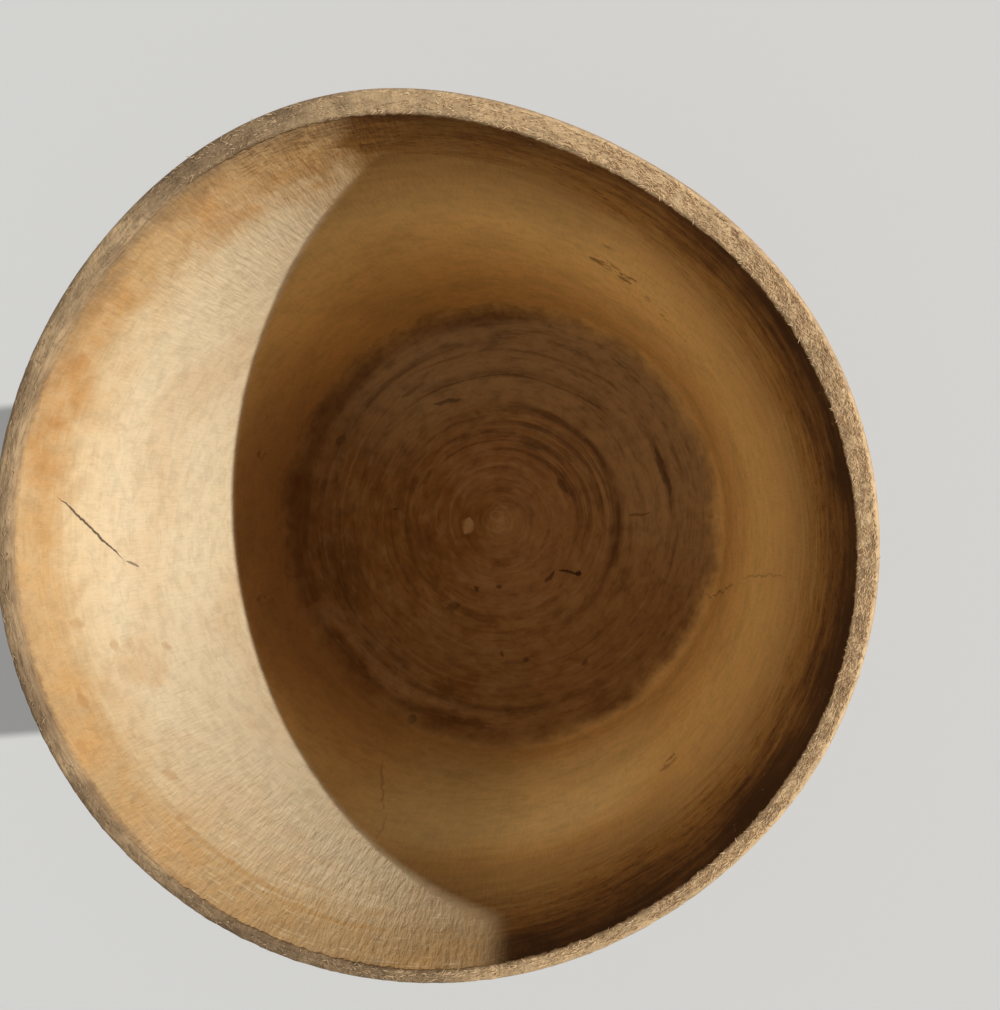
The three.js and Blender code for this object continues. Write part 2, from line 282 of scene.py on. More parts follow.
class Wiring:
    """Short calls that add nodes to a node tree and join their sockets."""

    def __init__(self, tree: bpy.types.NodeTree) -> None:
        """Starts on an empty tree."""
        self.tree = tree

    def feed(self, socket: Socket, value: object) -> None:
        """Links a socket into an input, or writes a plain value there."""
        if isinstance(value, bpy.types.NodeSocket):
            self.tree.links.new(value, socket)
        elif isinstance(value, tuple) and len(value) == 3 and socket.type == "RGBA":
            socket.default_value = (*value, 1.0)
        else:
            socket.default_value = value

    def node(self, kind: str, inputs: dict | None = None, **settings: object) -> bpy.types.Node:
        """Adds a node.

        Args:
            kind: Blender's name for the node type.
            inputs: Sockets or plain values, by the input's name or number.
            **settings: The node's own settings.

        Returns:
            The new node.
        """
        node = self.tree.nodes.new(kind)
        for name, value in settings.items():
            setattr(node, name, value)
        for name, value in (inputs or {}).items():
            self.feed(node.inputs[name], value)
        return node

    def math(self, operation: str, *values: object) -> Socket:
        """The result of a math node on sockets and plain numbers."""
        return self.node("ShaderNodeMath", dict(enumerate(values)), operation=operation).outputs[0]

    def vector(self, operation: str, *values: object) -> Socket:
        """The vector from a vector math node on sockets and plain vectors."""
        inputs = dict(enumerate(values))
        return self.node("ShaderNodeVectorMath", inputs, operation=operation).outputs[0]

    def times(self, *values: object) -> Socket:
        """The product of sockets and plain numbers."""
        return reduce(partial(self.math, "MULTIPLY"), values)

    def plus(self, *values: object) -> Socket:
        """The sum of sockets and plain numbers."""
        return reduce(partial(self.math, "ADD"), values)

    def minus(self, value: object, taken: object) -> Socket:
        """A value less another."""
        return self.math("SUBTRACT", value, taken)

    def over(self, value: object, divisor: object) -> Socket:
        """A value divided by another."""
        return self.math("DIVIDE", value, divisor)

    def larger(self, one: object, other: object) -> Socket:
        """The larger of two values."""
        return self.math("MAXIMUM", one, other)

    def scaled(self, value: object, factor: object, offset: object) -> Socket:
        """A value times a factor, plus an offset."""
        return self.math("MULTIPLY_ADD", value, factor, offset)

    def split(self, vector: Socket) -> Sockets:
        """The X, Y and Z of a vector, by name."""
        return self.node("ShaderNodeSeparateXYZ", {0: vector}).outputs

    def joined(self, x: object, y: object, z: object = 0.0) -> Socket:
        """A vector made of three numbers."""
        return self.node("ShaderNodeCombineXYZ", {0: x, 1: y, 2: z}).outputs[0]

    def position(self) -> Socket:
        """The place of a point on the piece."""
        return self.node("ShaderNodeTexCoord").outputs["Object"]

    def noise(
        self,
        vector: Socket,
        scale: float,
        detail: float = 2.0,
        roughness: float = 0.5,
        curl: float = 0.0,
    ) -> Socket:
        """Noise between 0 and 1 over a position.

        Args:
            vector: The position.
            scale: Lumps per metre.
            detail: Number of finer layers.
            roughness: Strength of the finer layers.
            curl: How much the noise curls.

        Returns:
            The noise.
        """
        inputs = {"Vector": vector, "Scale": scale, "Detail": detail, "Roughness": roughness}
        return self.node("ShaderNodeTexNoise", {**inputs, "Distortion": curl}).outputs[0]

    def step(self, value: Socket, start: object, end: object) -> Socket:
        """A soft step from 0 at start to 1 at end, which may lie below start."""
        inputs = {"Value": value, "From Min": start, "From Max": end}
        node = self.node("ShaderNodeMapRange", inputs, interpolation_type="SMOOTHSTEP", clamp=False)
        return node.outputs["Result"]

    def near(self, value: Socket, place: float, reach: float, core: float) -> Socket:
        """A mask that is full within core of a place and gone beyond reach."""
        return self.step(self.math("ABSOLUTE", self.minus(value, place)), reach, core)

    def mix(self, share: object, base: object, top: object) -> Socket:
        """A colour mixed over another by a share between 0 and 1."""
        return self.node("ShaderNodeMix", {0: share, 6: base, 7: top}, data_type="RGBA").outputs[2]

    def tint(self, colour: object, tone: Colour, *shares: object) -> Socket:
        """A colour with a tone mixed over it by the product of some shares."""
        return self.mix(self.times(*shares), colour, tone)

    def ramp(self, value: Socket, reach: float, tones: Tones) -> Socket:
        """A colour that changes along a length.

        Args:
            value: The length at each point.
            reach: The length at the ramp's end.
            tones: Pairs of length and colour, in order.

        Returns:
            The colour at the value.
        """
        node = self.node("ShaderNodeValToRGB", {0: self.over(value, reach)})
        stops = node.color_ramp.elements
        while len(stops) < len(tones):
            stops.new(1.0)
        for stop, (place, colour) in zip(stops, tones):
            stop.position = place / reach
            stop.color = (*colour, 1.0)
        return node.outputs[0]

    def group(self, tree: bpy.types.NodeTree, **inputs: object) -> Sockets:
        """What a node group puts out, by name, from inputs given by name."""
        node = self.node("ShaderNodeGroup", node_tree=tree)
        for name, value in inputs.items():
            self.feed(node.inputs[name], value)
        return node.outputs

    def bump(self, height: Socket) -> Socket:
        """The normal of a surface that is raised by a height."""
        inputs = {"Strength": 1.0, "Distance": 1.0, "Height": height}
        return self.node("ShaderNodeBump", inputs).outputs["Normal"]

    def attribute(self, name: str) -> Socket:
        """A number that the piece's mesh holds for each vertex."""
        return self.node("ShaderNodeAttribute", attribute_name=name).outputs["Fac"]


class SocketKind(Enum):
    """Types of the sockets on a node group."""

    NUMBER = "NodeSocketFloat"
    VECTOR = "NodeSocketVector"


def new_group(name: str, inputs: tuple[str, ...], *outputs: str) -> tuple[Wiring, Sockets, Sockets]:
    """Starts a node group, whose sockets are all numbers apart from a position.

    Args:
        name: The group's name.
        inputs: Names of its inputs.
        *outputs: Names of its outputs.

    Returns:
        The group's wiring, what it is given and what it gives back, both by name.
    """
    tree = bpy.data.node_groups.new(name, "ShaderNodeTree")
    for direction, sockets in (("INPUT", inputs), ("OUTPUT", outputs)):
        for socket in sockets:
            kind = SocketKind.VECTOR if socket == "Position" else SocketKind.NUMBER
            tree.interface.new_socket(socket, in_out=direction, socket_type=kind.value)
    wiring = Wiring(tree)
    start, end = wiring.node("NodeGroupInput"), wiring.node("NodeGroupOutput")
    return wiring, start.outputs, end.inputs


class Effects:
    """The node groups that the finishes share, each built once."""

    def __init__(self) -> None:
        """Builds all groups."""
        self.place = self._place()
        self.facing = self._facing()
        self.fibre = self._fibre()
        self.lines = self._lines()
        self.rings = self._rings()
        self.mark = self._mark()
        self.wall_mark = self._wall_mark()
        self.spots = self._spots()

    def _place(self) -> bpy.types.NodeTree:
        """Distance from the axis, height, and the run of the turned surface."""
        wiring, given, result = new_group("Turned Place", ("Position",), "Radius", "Height", "Run")
        height = wiring.split(given["Position"])["Z"]
        level = wiring.vector("MULTIPLY", given["Position"], LEVEL)
        length = wiring.node("ShaderNodeVectorMath", {0: level}, operation="LENGTH")
        radius = length.outputs["Value"]
        wiring.feed(result["Radius"], radius)
        wiring.feed(result["Height"], height)
        wiring.feed(result["Run"], wiring.plus(radius, height))
        return wiring.tree

    def _facing(self) -> bpy.types.NodeTree:
        """Cosine of the angle round the axis between a point and a bearing."""
        wiring, given, result = new_group("Bearing", ("Position", "Angle"), "Cosine")
        level = wiring.vector("MULTIPLY", given["Position"], LEVEL)
        bearing = wiring.joined(
            wiring.math("COSINE", given["Angle"]), wiring.math("SINE", given["Angle"])
        )
        unit = wiring.vector("NORMALIZE", level)
        cosine = wiring.node("ShaderNodeVectorMath", {0: unit, 1: bearing}, operation="DOT_PRODUCT")
        wiring.feed(result["Cosine"], cosine.outputs["Value"])
        return wiring.tree

    def _fibre(self) -> bpy.types.NodeTree:
        """Streaks along the trunk, which show as specks where the grain ends."""
        wiring, given, result = new_group("Wood Fibre", ("Position", "Width", "Length"), "Streak")
        across = wiring.over(1.0, given["Width"])
        along = wiring.over(1.0, given["Length"])
        scale = wiring.joined(across, across, along)
        stretched = wiring.vector("MULTIPLY", given["Position"], scale)
        wiring.feed(result["Streak"], wiring.noise(stretched, 1.0, 3.0, 0.6))
        return wiring.tree

    def _lines(self) -> bpy.types.NodeTree:
        """Fine lines round the axis that the turning tool left."""
        names = ("Position", "Spacing", "Length")
        wiring, given, result = new_group("Turning Lines", names, "Line")
        place = wiring.group(self.place, Position=given["Position"])
        split = wiring.split(given["Position"])
        folded = wiring.joined(
            wiring.over(split["X"], given["Length"]),
            wiring.over(split["Y"], given["Length"]),
            wiring.over(place["Run"], given["Spacing"]),
        )
        wiring.feed(result["Line"], wiring.noise(folded, 1.0, 2.0, 0.6))
        return wiring.tree

    def _rings(self) -> bpy.types.NodeTree:
        """Growth rings round a pith that wanders a little."""
        wiring, given, result = new_group("Growth Rings", ("Position", "Spacing", "Wander"), "Ring")
        place = wiring.group(self.place, Position=given["Position"])
        slow = wiring.vector("MULTIPLY", given["Position"], (1.0, 1.0, 0.16))
        drift = wiring.minus(wiring.noise(slow, 45.0, 1.0), 0.5)
        shifted = wiring.scaled(drift, given["Wander"], place["Radius"])
        place = wiring.over(shifted, given["Spacing"])
        inputs = {"W": place, "Scale": 1.0, "Detail": 2.0, "Roughness": 0.6}
        ring = wiring.node("ShaderNodeTexNoise", inputs, noise_dimensions="1D")
        wiring.feed(result["Ring"], ring.outputs[0])
        return wiring.tree

    def _mark(self) -> bpy.types.NodeTree:
        """A long or round mark on a flat pair of coordinates, ragged by a wander value."""
        names = ("Across", "Down", "Tilt", "Length", "Width", "Wander")
        wiring, given, result = new_group("Mark", names, "Mask")
        across, down = given["Across"], given["Down"]
        cosine, sine = wiring.math("COSINE", given["Tilt"]), wiring.math("SINE", given["Tilt"])
        along = wiring.plus(wiring.times(across, cosine), wiring.times(down, sine))
        aside = wiring.minus(wiring.times(down, cosine), wiring.times(across, sine))
        ragged = wiring.math("ABSOLUTE", wiring.plus(aside, given["Wander"]))
        share = wiring.over(wiring.math("ABSOLUTE", along), wiring.times(given["Length"], 0.5))
        fullness = wiring.larger(wiring.minus(1.0, wiring.math("POWER", share, 2.5)), 0.0)
        reach = wiring.times(wiring.times(given["Width"], 0.5), fullness)
        outer = wiring.scaled(reach, 1.5, TINY)
        wiring.feed(result["Mask"], wiring.step(ragged, outer, wiring.times(reach, 0.4)))
        return wiring.tree

    def _wall_mark(self) -> bpy.types.NodeTree:
        """A mark on the cup's wall, placed by its bearing and its depth below the rim."""
        shape = ("Tilt", "Length", "Width", "Wander")
        names = ("Position", "Depth", "Angle", "Middle", *shape)
        wiring, given, result = new_group("Wall Mark", names, "Mask")
        inputs = {"Vector": given["Position"], "Angle": wiring.times(given["Angle"], -1.0)}
        turned = wiring.node("ShaderNodeVectorRotate", inputs, rotation_type="Z_AXIS")
        split = wiring.split(turned.outputs[0])
        bearing = wiring.math("ARCTAN2", split["Y"], split["X"])
        radius = wiring.group(self.place, Position=given["Position"])["Radius"]
        mark = wiring.group(
            self.mark,
            Across=wiring.times(bearing, radius),
            Down=wiring.minus(given["Depth"], given["Middle"]),
            **{name: given[name] for name in shape},
        )
        wiring.feed(result["Mask"], mark["Mask"])
        return wiring.tree

    def _spots(self) -> bpy.types.NodeTree:
        """Small ragged spots, scattered, of which a share is left out."""
        names = ("Position", "Spacing", "Radius", "Share")
        wiring, given, result = new_group("Scattered Spots", names, "Mask")
        inputs = {"Vector": given["Position"], "Scale": 900.0, "Detail": 2.0}
        noise = wiring.node("ShaderNodeTexNoise", inputs)
        drift = wiring.vector("SUBTRACT", noise.outputs["Color"], (0.5, 0.5, 0.5))
        drift = wiring.vector("MULTIPLY", drift, (1.6 * MM, 1.6 * MM, 1.6 * MM))
        ragged = wiring.vector("ADD", given["Position"], drift)
        inputs = {"Vector": ragged, "Scale": wiring.over(1.0, given["Spacing"])}
        cells = wiring.node("ShaderNodeTexVoronoi", inputs).outputs
        reach = wiring.over(given["Radius"], given["Spacing"])
        near = wiring.step(cells["Distance"], wiring.times(reach, 1.3), reach)
        chance = wiring.node("ShaderNodeSeparateColor", {0: cells["Color"]}).outputs["Red"]
        kept = wiring.math("LESS_THAN", chance, given["Share"])
        wiring.feed(result["Mask"], wiring.times(near, kept))
        return wiring.tree


# Finishes


def new_material(name: str) -> tuple[bpy.types.Material, Wiring, bpy.types.Node]:
    """Starts a material.

    Args:
        name: The material's name.

    Returns:
        The material, its wiring and its surface shader.
    """
    material = bpy.data.materials.new(name)
    material.use_nodes = True
    wiring = Wiring(material.node_tree)
    return material, wiring, material.node_tree.nodes["Principled BSDF"]


class Ink(Enum):
    """Colours of the marks in the cup's wood."""

    CRACK = (0.085, 0.055, 0.038)
    PIT = (0.050, 0.022, 0.009)
    KNOT = (0.24, 0.12, 0.05)
    SPOT = (0.40, 0.205, 0.07)
    FLECK = (0.28, 0.135, 0.040)
    STREAK = (0.44, 0.25, 0.09)
    SMEAR = (0.50, 0.27, 0.09)
    RUST = (0.50, 0.245, 0.075)
    PALE = (0.62, 0.38, 0.18)


@dataclass(frozen=True)
class WallMark:
    """A crack, fleck or knot on the cup's wall. Angles are in degrees, lengths in millimetres."""

    angle: float
    depth: float
    tilt: float
    length: float
    width: float
    strength: float
    ink: Ink = Ink.KNOT
    wander: float = 0.3


@dataclass(frozen=True)
class FloorMark:
    """A pit, scratch or spot on the floor. Its tilt is in degrees, its lengths in millimetres."""

    x: float
    y: float
    tilt: float
    length: float
    width: float
    strength: float
    ink: Ink = Ink.PIT


class CupSurface:
    """What the parts of the cup's finish read: the place of a point and the shared patterns."""

    def __init__(self, wiring: Wiring, effects: Effects, rim_height: float) -> None:
        """Adds the nodes that all parts of the finish share.

        Args:
            wiring: The material's wiring.
            effects: The shared node groups.
            rim_height: Height of the rim, from which depths are taken.
        """
        self.wiring = wiring
        self.effects = effects
        self.position = wiring.position()
        self.level = wiring.vector("MULTIPLY", self.position, LEVEL)
        place = wiring.group(effects.place, Position=self.position)
        self.radius = place["Radius"]
        self.depth = wiring.minus(rim_height, place["Height"])
        self.blotch = wiring.noise(self.position, 110.0, 3.0, 0.55)
        self.mottle = wiring.noise(self.position, 520.0, 4.0, 0.64, 0.5)
        self.fibre = self.fibres(0.20 * MM, 3.2 * MM)

    def cosine(self, degrees: float) -> Socket:
        """Cosine of the angle round the axis to a bearing in degrees."""
        angle = math.radians(degrees)
        tree = self.effects.facing
        return self.wiring.group(tree, Position=self.position, Angle=angle)["Cosine"]

    def side(self, degrees: float, start: float, full: float) -> Socket:
        """Mask of the side towards a bearing, by the cosines where it starts and is full."""
        return self.wiring.step(self.cosine(degrees), start, full)

    def fibres(self, width: float, length: float) -> Socket:
        """Fibres along the trunk, of a width and a length."""
        sizes = {"Width": width, "Length": length}
        return self.wiring.group(self.effects.fibre, Position=self.position, **sizes)["Streak"]

    def lines(self, spacing: float, length: float) -> Socket:
        """Lines round the axis, of a spacing and a length."""
        sizes = {"Spacing": spacing, "Length": length}
        return self.wiring.group(self.effects.lines, Position=self.position, **sizes)["Line"]

    def rings(self, spacing: float, wander: float) -> Socket:
        """Growth rings of a spacing, which wander off the circle by a length."""
        sizes = {"Spacing": spacing, "Wander": wander}
        return self.wiring.group(self.effects.rings, Position=self.position, **sizes)["Ring"]

    def spots(self, position: Socket, spacing: float, radius: float, share: float) -> Socket:
        """Mask of scattered spots.

        Args:
            position: The place that the spots are scattered over.
            spacing: Distance between the places where a spot may be.
            radius: Radius of a spot.
            share: Share of the places that have one.

        Returns:
            The mask.
        """
        sizes = {"Spacing": spacing, "Radius": radius, "Share": share}
        return self.wiring.group(self.effects.spots, Position=position, **sizes)["Mask"]

    def darker(
        self, colour: Socket, pattern: Socket, start: float, end: float, amount: float
    ) -> Socket:
        """Darkens a colour by a share where a pattern runs from start to end.

        Args:
            colour: The colour so far.
            pattern: A value between 0 and 1.
            start: The pattern's value where the darkening starts.
            end: The pattern's value where it is full.
            amount: How dark it gets, from 0 to 1.

        Returns:
            The darkened colour.
        """
        keep = self.wiring.scaled(self.wiring.step(pattern, start, end), -amount, 1.0)
        inputs = {0: colour, "Scale": keep}
        return self.wiring.node("ShaderNodeVectorMath", inputs, operation="SCALE").outputs[0]

    def sunlit_depth(self, degrees: float, slope: float, lip_radius: Socket) -> Socket:
        """Depth down to which low light over the opposite side of the lip reaches the wall.

        Args:
            degrees: Bearing that the light comes from.
            slope: Fall of the light over a horizontal length of one.
            lip_radius: Radius of the lip's inner edge across from each point.

        Returns:
            The depth at each point.
        """
        wiring = self.wiring
        along = wiring.times(self.radius, self.cosine(degrees))
        aside = wiring.minus(wiring.times(self.radius, self.radius), wiring.times(along, along))
        across = wiring.minus(wiring.times(lip_radius, lip_radius), aside)
        across = wiring.math("SQRT", wiring.larger(across, 0.0))
        return wiring.times(wiring.minus(across, along), slope)

    def drift(self) -> Socket:
        """Noise between about -1 and 1 that makes marks ragged."""
        return self.wiring.scaled(self.wiring.noise(self.position, 420.0, 4.0, 0.65), 4.0, -2.0)

    def wall_mask(self, mark: WallMark, wander: Socket) -> Socket:
        """Mask of one mark on the wall, pushed about by a wander."""
        mask = self.wiring.group(
            self.effects.wall_mark,
            Position=self.position,
            Depth=self.depth,
            Angle=math.radians(mark.angle),
            Middle=mark.depth * MM,
            Tilt=math.radians(mark.tilt),
            Length=mark.length * MM,
            Width=mark.width * MM,
            Wander=wander,
        )
        return mask["Mask"]

    def marked(self, colour: Socket, marks: tuple[WallMark, ...]) -> Socket:
        """Adds the wall's marks to a colour, the flecks broken up."""
        drift = self.drift()
        broken = self.wiring.step(self.lines(1.2 * MM, 1.5 * MM), 0.46, 0.58)
        for mark in marks:
            mask = self.wall_mask(mark, self.wiring.times(drift, mark.wander * MM))
            gaps = (broken,) if mark.ink is Ink.FLECK else ()
            colour = self.wiring.tint(colour, mark.ink.value, mask, mark.strength, *gaps)
        return colour

    def floor_marked(self, colour: Socket, marks: tuple[FloorMark, ...]) -> Socket:
        """Adds the floor's marks to a colour."""
        split = self.wiring.split(self.position)
        drift = self.wiring.times(self.drift(), 0.3 * MM)
        for mark in marks:
            mask = self.wiring.group(
                self.effects.mark,
                Across=self.wiring.minus(split["X"], mark.x * MM),
                Down=self.wiring.minus(split["Y"], mark.y * MM),
                Tilt=math.radians(mark.tilt),
                Length=mark.length * MM,
                Width=mark.width * MM,
                Wander=drift,
            )
            colour = self.wiring.tint(colour, mark.ink.value, mask["Mask"], mark.strength)
        return colour


@dataclass(frozen=True)
class CupWood:
    """Wood of the cup: worn hollow with painted light and shade, dark end grain on its floor, fuzzy
    lip, smooth outside.
    """

    rim_height: float
    floor_height: float
    # Sunlit copy of the wall's wood by depth: painted light, paler than the wood, its top darker
    # with the stain under the lip.
    sunlit_tones: Tones = (
        (0.0 * MM, (0.46, 0.29, 0.130)),
        (4.0 * MM, (0.56, 0.370, 0.175)),
        (8.0 * MM, (0.70, 0.525, 0.300)),
        (14.0 * MM, (0.76, 0.615, 0.390)),
        (35.0 * MM, (0.76, 0.625, 0.405)),
        (70.0 * MM, (0.72, 0.560, 0.320)),
    )
    # Shaded copy of the wall's wood by depth: painted shade, orange as light bounced in the cup
    # makes it, its deep tones lighter and more saturated than the bare wood and its top the dark
    # grime band under the lip.
    shaded_tones: Tones = (
        (0.0 * MM, (0.055, 0.020, 0.004)),
        (1.5 * MM, (0.085, 0.032, 0.007)),
        (3.5 * MM, (0.185, 0.073, 0.016)),
        (6.5 * MM, (0.36, 0.165, 0.038)),
        (10.5 * MM, (0.52, 0.282, 0.087)),
        (18.0 * MM, (0.74, 0.432, 0.145)),
        (30.0 * MM, (0.92, 0.585, 0.212)),
        (46.0 * MM, (0.92, 0.575, 0.198)),
        (70.0 * MM, (0.90, 0.535, 0.168)),
    )
    lip_radius: float = 40.3 * MM
    lip_inward: float = 1.8 * MM
    light_bearing: float = LIGHT_BEARING
    light_slope: float = math.tan(math.radians(LIGHT_ELEVATION))
    lit_middle: float = 10.5
    # Painted bounce light on the deep shaded wall, and painted shade deep on its left.
    bounce_light: Colour = (0.96, 0.61, 0.225)
    low_bounce_light: Colour = (1.0, 0.73, 0.32)
    shady: Colour = (0.62, 0.345, 0.118)
    stain: Colour = (0.54, 0.295, 0.100)
    tide: Colour = (0.36, 0.165, 0.048)
    scratch: Colour = (0.86, 0.73, 0.50)
    grime: Colour = (0.060, 0.022, 0.006)
    soil: Colour = (0.30, 0.185, 0.085)
    blush: Colour = (0.64, 0.43, 0.235)
    heart: Colour = (0.342, 0.168, 0.060)
    floor: Colour = (0.325, 0.166, 0.053)
    floor_rust: Colour = (0.275, 0.120, 0.027)
    floor_grey: Colour = (0.435, 0.272, 0.120)
    floor_dark: Colour = (0.105, 0.042, 0.013)
    dirt: Colour = (0.15, 0.062, 0.016)
    floor_light: Colour = (0.52, 0.31, 0.135)
    lip: Colour = (0.615, 0.420, 0.225)
    lip_dark: Colour = (0.245, 0.160, 0.086)
    outside: Colour = (0.58, 0.38, 0.23)
    outside_dark: Colour = (0.40, 0.24, 0.13)
    wall_marks: tuple[WallMark, ...] = (
        WallMark(179.5, 10.9, 57.0, 13.5, 0.34, 0.95, Ink.CRACK, 0.25),
        WallMark(-174.0, 18.3, 72.0, 3.0, 0.35, 0.7, Ink.CRACK, 0.1),
        WallMark(-103.9, 25.5, 96.0, 9.0, 0.35, 0.35, Ink.KNOT, 0.5),
        WallMark(-109.5, 40.0, 104.0, 19.0, 0.4, 0.5, Ink.KNOT, 0.5),
        WallMark(-16.2, 62.0, 101.0, 24.0, 0.35, 0.75, Ink.KNOT, 0.8),
        WallMark(-8.8, 31.0, 95.0, 30.0, 0.30, 0.4, Ink.KNOT, 0.4),
        WallMark(59.5, 23.0, -3.0, 4.8, 4.0, 0.80, Ink.FLECK, 0.8),
        WallMark(55.8, 25.5, -20.0, 2.4, 3.4, 0.8, Ink.FLECK, 0.8),
        WallMark(53.4, 22.4, -8.0, 3.2, 2.6, 0.8, Ink.FLECK, 0.8),
        WallMark(50.5, 27.0, 10.0, 1.6, 2.6, 0.7, Ink.FLECK, 0.6),
        WallMark(45.6, 29.5, 0.0, 1.8, 2.0, 0.6, Ink.FLECK, 0.6),
        WallMark(41.0, 31.0, -12.0, 2.2, 2.0, 0.6, Ink.FLECK, 0.6),
        WallMark(58.8, 16.0, 0.0, 1.8, 1.4, 0.5, Ink.FLECK, 0.6),
        WallMark(-46.9, 26.0, 4.0, 3.6, 4.4, 0.75, Ink.FLECK, 0.8),
        WallMark(163.1, 54.7, 88.0, 6.0, 1.6, 0.75, Ink.FLECK, 0.5),
        WallMark(-161.3, 55.8, 88.0, 7.0, 1.6, 0.75, Ink.FLECK, 0.5),
        WallMark(-154.0, 4.3, 15.0, 1.9, 1.4, 0.58, Ink.SPOT, 0.4),
        WallMark(-165.5, 6.9, 80.0, 2.2, 1.2, 0.41, Ink.SPOT, 0.4),
        WallMark(-161.0, 11.6, 90.0, 1.7, 1.0, 0.34, Ink.SPOT, 0.4),
        WallMark(-158.1, 21.5, 70.0, 2.2, 0.9, 0.34, Ink.SPOT, 0.4),
        WallMark(-148.0, 1.8, 0.0, 1.9, 1.1, 0.41, Ink.SPOT, 0.4),
        WallMark(-137.4, 9.3, 40.0, 2.2, 1.4, 0.38, Ink.SPOT, 0.4),
        WallMark(-130.7, 6.4, 40.0, 1.9, 1.3, 0.34, Ink.SPOT, 0.4),
        WallMark(-123.9, 0.5, 0.0, 2.5, 1.1, 0.54, Ink.SPOT, 0.4),
        WallMark(-120.0, 5.6, -1.5, 17.0, 0.8, 0.55, Ink.STREAK, 0.35),
        WallMark(-104.0, 4.6, 1.0, 15.0, 0.7, 0.50, Ink.STREAK, 0.35),
        WallMark(-112.0, 8.0, 3.0, 12.0, 0.5, 0.25, Ink.STREAK),
    )
    stains: tuple[WallMark, ...] = (
        WallMark(147.0, 1.8, 0.0, 12.0, 4.6, 0.65, Ink.RUST),
        WallMark(158.0, 2.5, 0.0, 8.0, 7.5, 0.85, Ink.RUST),
        WallMark(168.0, 3.0, 0.0, 9.0, 6.0, 0.75, Ink.RUST),
        WallMark(120.0, 5.5, 0.0, 12.0, 9.0, 0.75, Ink.RUST),
        WallMark(136.0, 3.5, 0.0, 12.0, 5.0, 0.6, Ink.SMEAR),
        WallMark(111.0, 4.5, 0.0, 10.0, 8.0, 0.6, Ink.SMEAR),
        WallMark(178.0, 3.4, 0.0, 8.0, 6.5, 0.6, Ink.SMEAR),
        WallMark(-165.0, 4.4, 0.0, 14.0, 6.5, 0.18, Ink.SMEAR),
        WallMark(-156.5, 16.5, 0.0, 7.0, 9.0, 0.40, Ink.SMEAR),
        WallMark(-148.0, 4.0, 0.0, 12.0, 6.0, 0.5, Ink.SMEAR),
        WallMark(-132.0, 4.0, 0.0, 13.0, 5.0, 0.5, Ink.SMEAR),
    )
    floor_marks: tuple[FloorMark, ...] = (
        FloorMark(7.9, -9.0, 50.0, 2.6, 0.7, 0.75),
        FloorMark(11.0, -8.2, -12.0, 3.4, 0.5, 0.9),
        FloorMark(12.6, -8.4, 0.0, 1.1, 0.9, 0.95),
        FloorMark(-8.2, -14.1, 20.0, 2.4, 1.6, 0.5),
        FloorMark(-14.7, -32.6, 0.0, 1.5, 1.3, 1.0),
        FloorMark(-0.5, -10.8, 0.0, 1.1, 0.8, 0.6),
        FloorMark(4.0, -22.7, 0.0, 1.1, 0.8, 0.55),
        FloorMark(13.7, -23.0, 60.0, 1.4, 0.8, 0.5),
        FloorMark(10.0, 6.1, -55.0, 3.2, 0.9, 0.55),
        FloorMark(-27.4, 13.8, 65.0, 2.2, 1.3, 0.45),
        FloorMark(-9.2, 20.0, 8.0, 5.0, 0.8, 0.60),
        FloorMark(-15.5, 21.8, 35.0, 4.0, 0.8, 0.40),
        FloorMark(26.4, 8.2, -72.0, 9.0, 0.9, 0.50),
        FloorMark(22.6, 1.3, 8.0, 4.0, 0.5, 0.45),
        FloorMark(-5.7, -0.7, 70.0, 3.0, 1.9, 0.60, Ink.PALE),
    )
    pith: Point = (-0.6 * MM, 0.7 * MM)
    roughness: float = 0.5
    bare_roughness: float = 0.32
    roughness_swing: float = 0.2
    gloss: float = 0.12
    grime_band: Reach = (14.0 * MM, 2.0 * MM)
    under_lip: Reach = (6.0 * MM, 0.0)
    worn_edge: Reach = (1.2 * MM, 0.3 * MM)
    # Depths of the painted bounce light, and of the painted shade deep on the left and near the lip
    # at the shadow's ends.
    shelf_from: Reach = (15.0 * MM, 28.0 * MM)
    shelf_to: Reach = (62.0 * MM, 46.0 * MM)
    bounce_light_from: Reach = (26.0 * MM, 48.0 * MM)
    shady_from: Reach = (36.0 * MM, 50.0 * MM)
    dark_ends: Reach = (26.0 * MM, 12.0 * MM)
    # Soft edge of the painted sunlit copy, beyond the depth that the key light reaches.
    sunlit_edge: Reach = (1.8 * MM, 0.0)
    flecks_from: Reach = (16.0 * MM, 40.0 * MM)
    cloudy_to: Reach = (16.0 * MM, 3.0 * MM)
    heart_edge: Reach = (14.0 * MM, 25.0 * MM)
    grey_from: Reach = (13.0 * MM, 26.0 * MM)
    dirt_from: Reach = (35.0 * MM, 37.4 * MM)
    torn_to: Reach = (34.0 * MM, 16.0 * MM)
    rough_to: Reach = (13.0 * MM, 1.0 * MM)
    fibre_height: float = 0.012 * MM
    line_height: float = 0.006 * MM
    ridge_height: float = 0.22 * MM
    mottle_height: float = 0.05 * MM
    fuzz_height: float = 0.11 * MM
    floor_height_noise: float = 0.05 * MM

    @property
    def depth_of_floor(self) -> float:
        """Depth of the hollow below the rim."""
        return self.rim_height - self.floor_height

